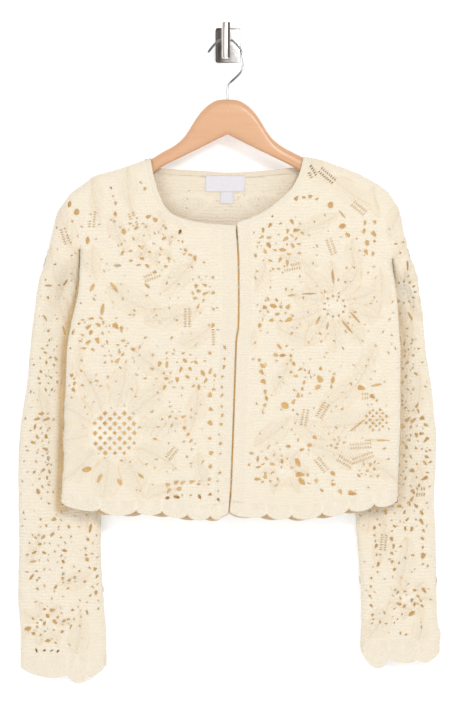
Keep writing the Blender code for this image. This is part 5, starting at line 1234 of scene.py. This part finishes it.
def buildLabel(name, x0, top, width, height, folded):
    nx, nz = int(width / label["mesh"]), int(height / label["mesh"])
    u, v = (g.ravel() for g in np.meshgrid(np.linspace(0, 1, nx + 1), np.linspace(0, 1, nz + 1),
                                           indexing="ij"))
    x, z = x0 + width * u, top - height * v
    middle, out = clothPoints("body", 1, x, z)
    base = cloth["thickness"] / 2 + label["gap"]
    ends = np.minimum(u, 1 - u) * width
    puff = label["fold"] * np.exp(-((ends - 1.6) / 0.9) ** 2) * folded
    puff = puff + label["stitch"] * np.exp(-((ends - 2.6) / 0.35) ** 2) * np.cos(z * 2.6) * folded
    puff = puff + label["puff"] * np.sin(x / 5.0) * (1 - np.abs(2 * v - 1))
    near = middle - out * (base + label["thickness"] + puff)[:, None]
    far = middle - out * base
    count = len(x)
    faces = []
    for i in range(nx):
        for k in range(nz):
            a = i * (nz + 1) + k
            quad = [a, a + 1, a + nz + 2, a + nz + 1]
            faces += [quad, [p + count for p in reversed(quad)]]
    rim = [i * (nz + 1) for i in range(nx)] + [nx * (nz + 1) + k for k in range(nz)]
    rim += [i * (nz + 1) + nz for i in range(nx, 0, -1)] + list(range(nz, 0, -1))
    faces += [[a, b, b + count, a + count] for a, b in zip(rim, rim[1:] + rim[:1])]
    piece = newPiece(name, np.concatenate([near, far]), faces)
    smoothByAngle(piece, 40)
    return piece


# The wooden hanger: two arms with one rounded section

hanger = {
    # distance from the centre, and the height of the top and of the low edge
    "rows": [(0, -73.2, -118), (12, -74.2, -124), (22, -78.6, -129), (33, -88, -134.6),
             (42, -100.4, -139), (50, -113.6, -142.8), (57, -123, -146.4), (68, -132.4, -151.6),
             (84, -141.2, -159.8)],
    "halfSpan": 188.0, "thickness": 12.0, "clearance": 3.2, "pitch": 3.0, "gap": 0.04,
    "underCloth": range(104, 189, 12), "depth": 20.5, "deeper": 3.5, "tipDrop": 1.0,
    "tip": 6.0, "tipShrink": 0.55, "tipSteps": (5.0, 3.2, 1.8, 0.8, 0.2, 0.0), "around": 36,
    # the section: share of the half thickness, and distance from the top or from the low edge
    "upper": [(0, 0), (0.3, 0.7), (0.66, 3.2), (0.93, 7), (1, 11)],
    "lower": [(1, 7), (0.9, 3), (0.6, 0.9), (0, 0)],
}


def buildArm(name, s, outer):
    h, way, n = hanger, -sign[s], hanger["around"]
    line = sideways(outer[s], -way * h["clearance"])
    line = [(abs(p[0]), p[1]) for p in line]
    topRows, lowRows = [row[:2] for row in h["rows"]], [row[::2] for row in h["rows"]]
    for reach in h["underCloth"]:
        z = valueAt(line, 0, reach)
        topRows.append((reach, z - (h["tipDrop"] if reach > 180 else 0.0)))
        lowRows.append((reach, z - (h["depth"] + h["deeper"] * float(smooth(95, 150, reach)))))
    top, low = curveThrough(topRows, 2), curveThrough(lowRows, 2)
    half = h["thickness"] / 2
    spots = list(np.arange(h["gap"], h["halfSpan"] - h["tip"], h["pitch"]))
    spots += [h["halfSpan"] - d for d in h["tipSteps"]]
    rings = []
    for x in spots:
        t, b = valueAt(top, 0, x), valueAt(low, 0, x)
        end = max(0.0, 1 - (h["halfSpan"] - x) / h["tip"])
        shrink = math.sqrt(max(0.0, 1 - end * end)) * h["tipShrink"] + (1 - h["tipShrink"])
        right = [(w * half, t - d) for w, d in h["upper"]] + [(w * half, b + d) for w, d in h["lower"]]
        right = curveThrough(right, 1.7)
        ring = right[:-1] + [(-y, z) for y, z in reversed(right)][:-1]
        mid = (t + b) / 2
        p = np.array([(way * x, cloth["hangerY"] + y * shrink, mid + (z - mid) * shrink)
                      for y, z in ring + ring[:1]])
        run = np.concatenate([[0], np.cumsum(np.linalg.norm(np.diff(p, axis=0), axis=1))])
        at = np.linspace(0, run[-1], n + 1)[:-1]
        rings.append(np.stack([np.interp(at, run, p[:, k]) for k in range(3)], axis=1))
    faces = []
    for r in range(len(rings) - 1):
        for i in range(n):
            k = (i + 1) % n
            faces.append([r * n + i, (r + 1) * n + i, (r + 1) * n + k, r * n + k])
    faces += [list(range(n)), [(len(rings) - 1) * n + i for i in reversed(range(n))]]
    piece = newPiece(name, np.concatenate(rings), [f[::way] for f in faces])
    faceOutwards(piece)
    smoothByAngle(piece, 50)
    return piece


# The hanger's wire hook and the wall hook

metal = {
    "route": [(0, -84), (0, -72), (0, -58), (3.4, -52.2), (10, -46), (16.4, -39.2), (19.4, -30),
              (19.6, -20), (16.5, -9.5), (9.5, -0.8), (3.5, 2.6), (-2, 3.4), (-8, 2.6),
              (-13.6, -0.4), (-19.5, -6.5), (-25, -13.6)],
    "wire": 1.6, "wireTip": [0.55, 0.85, 1.0], "plate": (33.0, 3.0, 44.6), "plateX": 1.0,
    "bevel": 1.2, "corner": 3.0, "barX": -1.8, "barZ": -0.8, "barRadius": 5.5, "barHeight": 45.4,
    "barFront": -55.0, "stemRadius": 4.0, "stemZ": -2.5, "gap": 0.3,
}


def buildHook():
    path = curveThrough(metal["route"], 1.5)
    curve = bpy.data.curves.new("wireHook", "CURVE")
    curve.dimensions = "3D"
    curve.bevel_depth = metal["wire"] * mm
    curve.bevel_resolution = 5
    curve.use_fill_caps = True
    line = curve.splines.new("POLY")
    line.points.add(len(path) - 1)
    for i, (point, p) in enumerate(zip(line.points, path)):
        point.co = (p[0] * mm, cloth["hangerY"] * mm, p[1] * mm, 1.0)
        point.radius = metal["wireTip"][min(2, len(path) - 1 - i)]
    piece = bpy.data.objects.new("wireHook", curve)
    bpy.context.collection.objects.link(piece)
    selectOnly(piece)
    bpy.ops.object.convert(target="MESH")
    piece = bpy.context.object
    faceOutwards(piece, merge=True)
    smoothByAngle(piece, 50)
    return piece


def buildRod(name, centre, radius, length, turn):
    bpy.ops.object.select_all(action="DESELECT")
    bpy.ops.mesh.primitive_cylinder_add(vertices=64, radius=radius * mm, depth=length * mm,
                                        location=[c * mm for c in centre], rotation=(turn, 0, 0))
    rod = bpy.context.object
    rod.name = rod.data.name = name
    selectParts(rod, "polygons", lambda face: len(face.vertices) > 4)
    bpy.ops.mesh.inset(thickness=0.6 * mm, depth=0.5 * mm)  # the two ends stand out by this depth
    bpy.ops.object.mode_set(mode="OBJECT")
    rod.scale = (1, 1, (length - 1.0) / length)
    softenEdges(rod, 0.25, 2)
    return rod


def buildPlate():
    wide, thick, high = (size * mm for size in metal["plate"])
    bpy.ops.object.select_all(action="DESELECT")
    bpy.ops.mesh.primitive_cube_add(size=1.0, location=(metal["plateX"] * mm, -thick / 2, 0))
    plate = bpy.context.object
    plate.name = plate.data.name = "wallPlate"
    plate.scale = (wide, thick, high)
    bpy.ops.object.transform_apply(location=True, rotation=True, scale=True)
    place = [v.co.y for v in plate.data.vertices]
    selectParts(plate, "edges", lambda e: abs(place[e.vertices[0]] - place[e.vertices[1]]) > 0.001)
    bpy.ops.mesh.select_mode(type="EDGE")
    bpy.ops.mesh.bevel(offset=metal["corner"] * mm, segments=8)
    bpy.ops.object.mode_set(mode="OBJECT")
    softenEdges(plate, metal["bevel"], 4)
    return plate


# Light, wall, floor and camera

studio = {
    "world": 0.8, "wall": (0.88, 0.88, 0.88), "floor": (0.9, 0.9, 0.9), "size": 6, "floorZ": -1.25,
    "glow": (0.92, 0.96, 1.0, 1.0), "glowStrength": 0.13, "aim": (0, 0, -0.4),
    # the lamps: place, width and height, power, colour
    "key": ((0.8, -2.4, 0.7), (0.7, 0.7), 36.0, (1.0, 0.99, 0.97)),
    "fill": ((-1.6, -2.2, 0.0), (1.6, 1.8), 15.0, (0.98, 0.99, 1.0)),
    "behind": ((-0.7, 2.4, 0.6), (1.2, 1.2), 30.0, (1.0, 1.0, 1.0)),
    "cameraPlace": (0.0032, -2.545, -0.3973), "lens": 100.4, "sensorHeight": 36.0,
}


def stageMaterial(name, colour, oneSided):
    material, tree, shader, place = newMaterial(name, {
        "Roughness": 0.95, "Specular IOR Level": 0.1, "Emission Color": studio["glow"],
        "Emission Strength": studio["glowStrength"]})
    paler = mixColour(tree, noiseAt(tree, place, 3.0, 2.0), colour, tuple(c * 0.99 for c in colour))
    tree.links.new(paler, shader["Base Color"])
    if oneSided:  # the lamp behind the wall lights the back
        back = addNode(tree, "ShaderNodeNewGeometry").outputs["Backfacing"]
        shadow = addNode(tree, "ShaderNodeLightPath").outputs["Is Shadow Ray"]
        clear = mathNode(tree, "MAXIMUM", back, shadow)
        tree.links.new(mathNode(tree, "SUBTRACT", 1.0, clear), shader["Alpha"])
    return material


def buildStage():
    bpy.ops.object.select_all(action="DESELECT")
    for name, place, turn, coat, oneSided in (
            ("wall", (0, 0.0006, -0.4), math.pi / 2, "palePaint", True),
            ("floor", (0, 0, studio["floorZ"]), 0, "paleFloor", False)):
        bpy.ops.mesh.primitive_plane_add(size=studio["size"], location=place, rotation=(turn, 0, 0))
        thing = bpy.context.object
        thing.name = name
        thing.data.materials.append(stageMaterial(coat, studio[name], oneSided))


def buildLight():
    scene = bpy.context.scene
    world = scene.world = bpy.data.worlds.new("studio")
    world.use_nodes = True
    sky = world.node_tree.nodes["Background"].inputs
    sky["Color"].default_value = (1.0, 1.0, 1.0, 1.0)
    sky["Strength"].default_value = studio["world"]
    for name in ("key", "fill", "behind"):
        place, size, power, colour = studio[name]
        lamp = bpy.data.lights.new(name, "AREA")
        lamp.shape = "RECTANGLE"
        lamp.size, lamp.size_y = size
        lamp.energy = power
        lamp.color = colour
        thing = bpy.data.objects.new(name, lamp)
        thing.location = place
        aim = Vector(studio["aim"]) - Vector(place)
        thing.rotation_euler = aim.to_track_quat("-Z", "Y").to_euler()
        bpy.context.collection.objects.link(thing)
    scene.view_settings.view_transform = "Standard"


def buildCamera():
    lens = bpy.data.cameras.new("camera")
    lens.sensor_fit = "VERTICAL"
    lens.sensor_height = studio["sensorHeight"]
    lens.lens = studio["lens"]
    view = bpy.data.objects.new("camera", lens)
    view.location = studio["cameraPlace"]
    view.rotation_euler = (math.pi / 2, 0, 0)
    bpy.context.collection.objects.link(view)
    bpy.context.scene.camera = view


buildCamera()
buildLight()
buildStage()
print("camera, light and stage are set")

stitchGroup = makeStitchGroup()
crochet = makeCrochet("crochetCotton", stitchGroup, cottonLook)
edging = makeCrochet("crochetEdging", stitchGroup, edgingLook)
satin, wood = makeLabelSatin(), makeWood()
chrome = {part: makeChrome(part) for part in chromeLook}
print("materials are made")

garment = garmentLines()
for s in sign:
    buildFront(garment, s)
buildBack(garment)
for s in sign:
    buildSleeve(garment, s)
restsOn = {"front_left": ["hanger_arm_left"], "front_right": ["hanger_arm_right"],
           "back": ["hanger_arm_left", "hanger_arm_right"]}
for name, panel in panels.items():
    piece = panel["piece"]
    piece.name = piece.data.name = "lace." + name
    plainTrim = "edging" in name or "band" in name
    piece.data.materials.append(edging if plainTrim else crochet)
    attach(piece, "root")
    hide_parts(name)
    support = restsOn.get(name, ["lace.back"])
    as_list(support)
print("cloth: holes", sum(p["holes"] for p in panels.values()),
      "faces", sum(len(p["piece"].data.polygons) for p in panels.values()))

tag = label
for node, name, x, top, width, height, folded in (
        ("label", "wovenLabelPiece", tag["x"], tag["top"], tag["width"], tag["height"], 1.0),
        ("size_tab", "sizeTabPiece", tag["tabX"], tag["top"] - tag["height"] - tag["gap"],
         tag["tabWidth"], tag["tabHeight"], 0.0)):
    piece = buildLabel(name, x, top, width, height, folded)
    piece.data.materials.append(satin)
    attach(piece, "root")
    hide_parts(node)

m = metal
barY = m["barFront"] + m["barRadius"]
stemStart, stemEnd = -m["plate"][1] - m["gap"], m["barFront"] + 2 * m["barRadius"] + m["gap"]
stemPlace = (m["barX"], (stemStart + stemEnd) / 2, m["stemZ"])
hard = [("hanger_arm_left", buildArm("armLeft", "left", garment["outer"]), wood, "hanger wood"),
        ("hanger_arm_right", buildArm("armRight", "right", garment["outer"]), wood, "hanger wood"),
        ("hanger_hook", buildHook(), chrome["Wire"], "chrome"),
        ("wall_plate", buildPlate(), chrome["Plate"], "chrome"),
        ("wall_stem", buildRod("wallStem", stemPlace, m["stemRadius"], stemStart - stemEnd, math.pi / 2),
         chrome["Plate"], "chrome"),
        ("wall_bar", buildRod("wallBar", (m["barX"], barY, m["barZ"]), m["barRadius"], m["barHeight"], 0),
         chrome["Bar"], "chrome")]
for node, piece, material, slot in hard:
    piece.data.materials.clear()
    piece.data.materials.append(material)
    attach(piece, "root")
    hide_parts(node)
print("label, hanger and hooks are made")
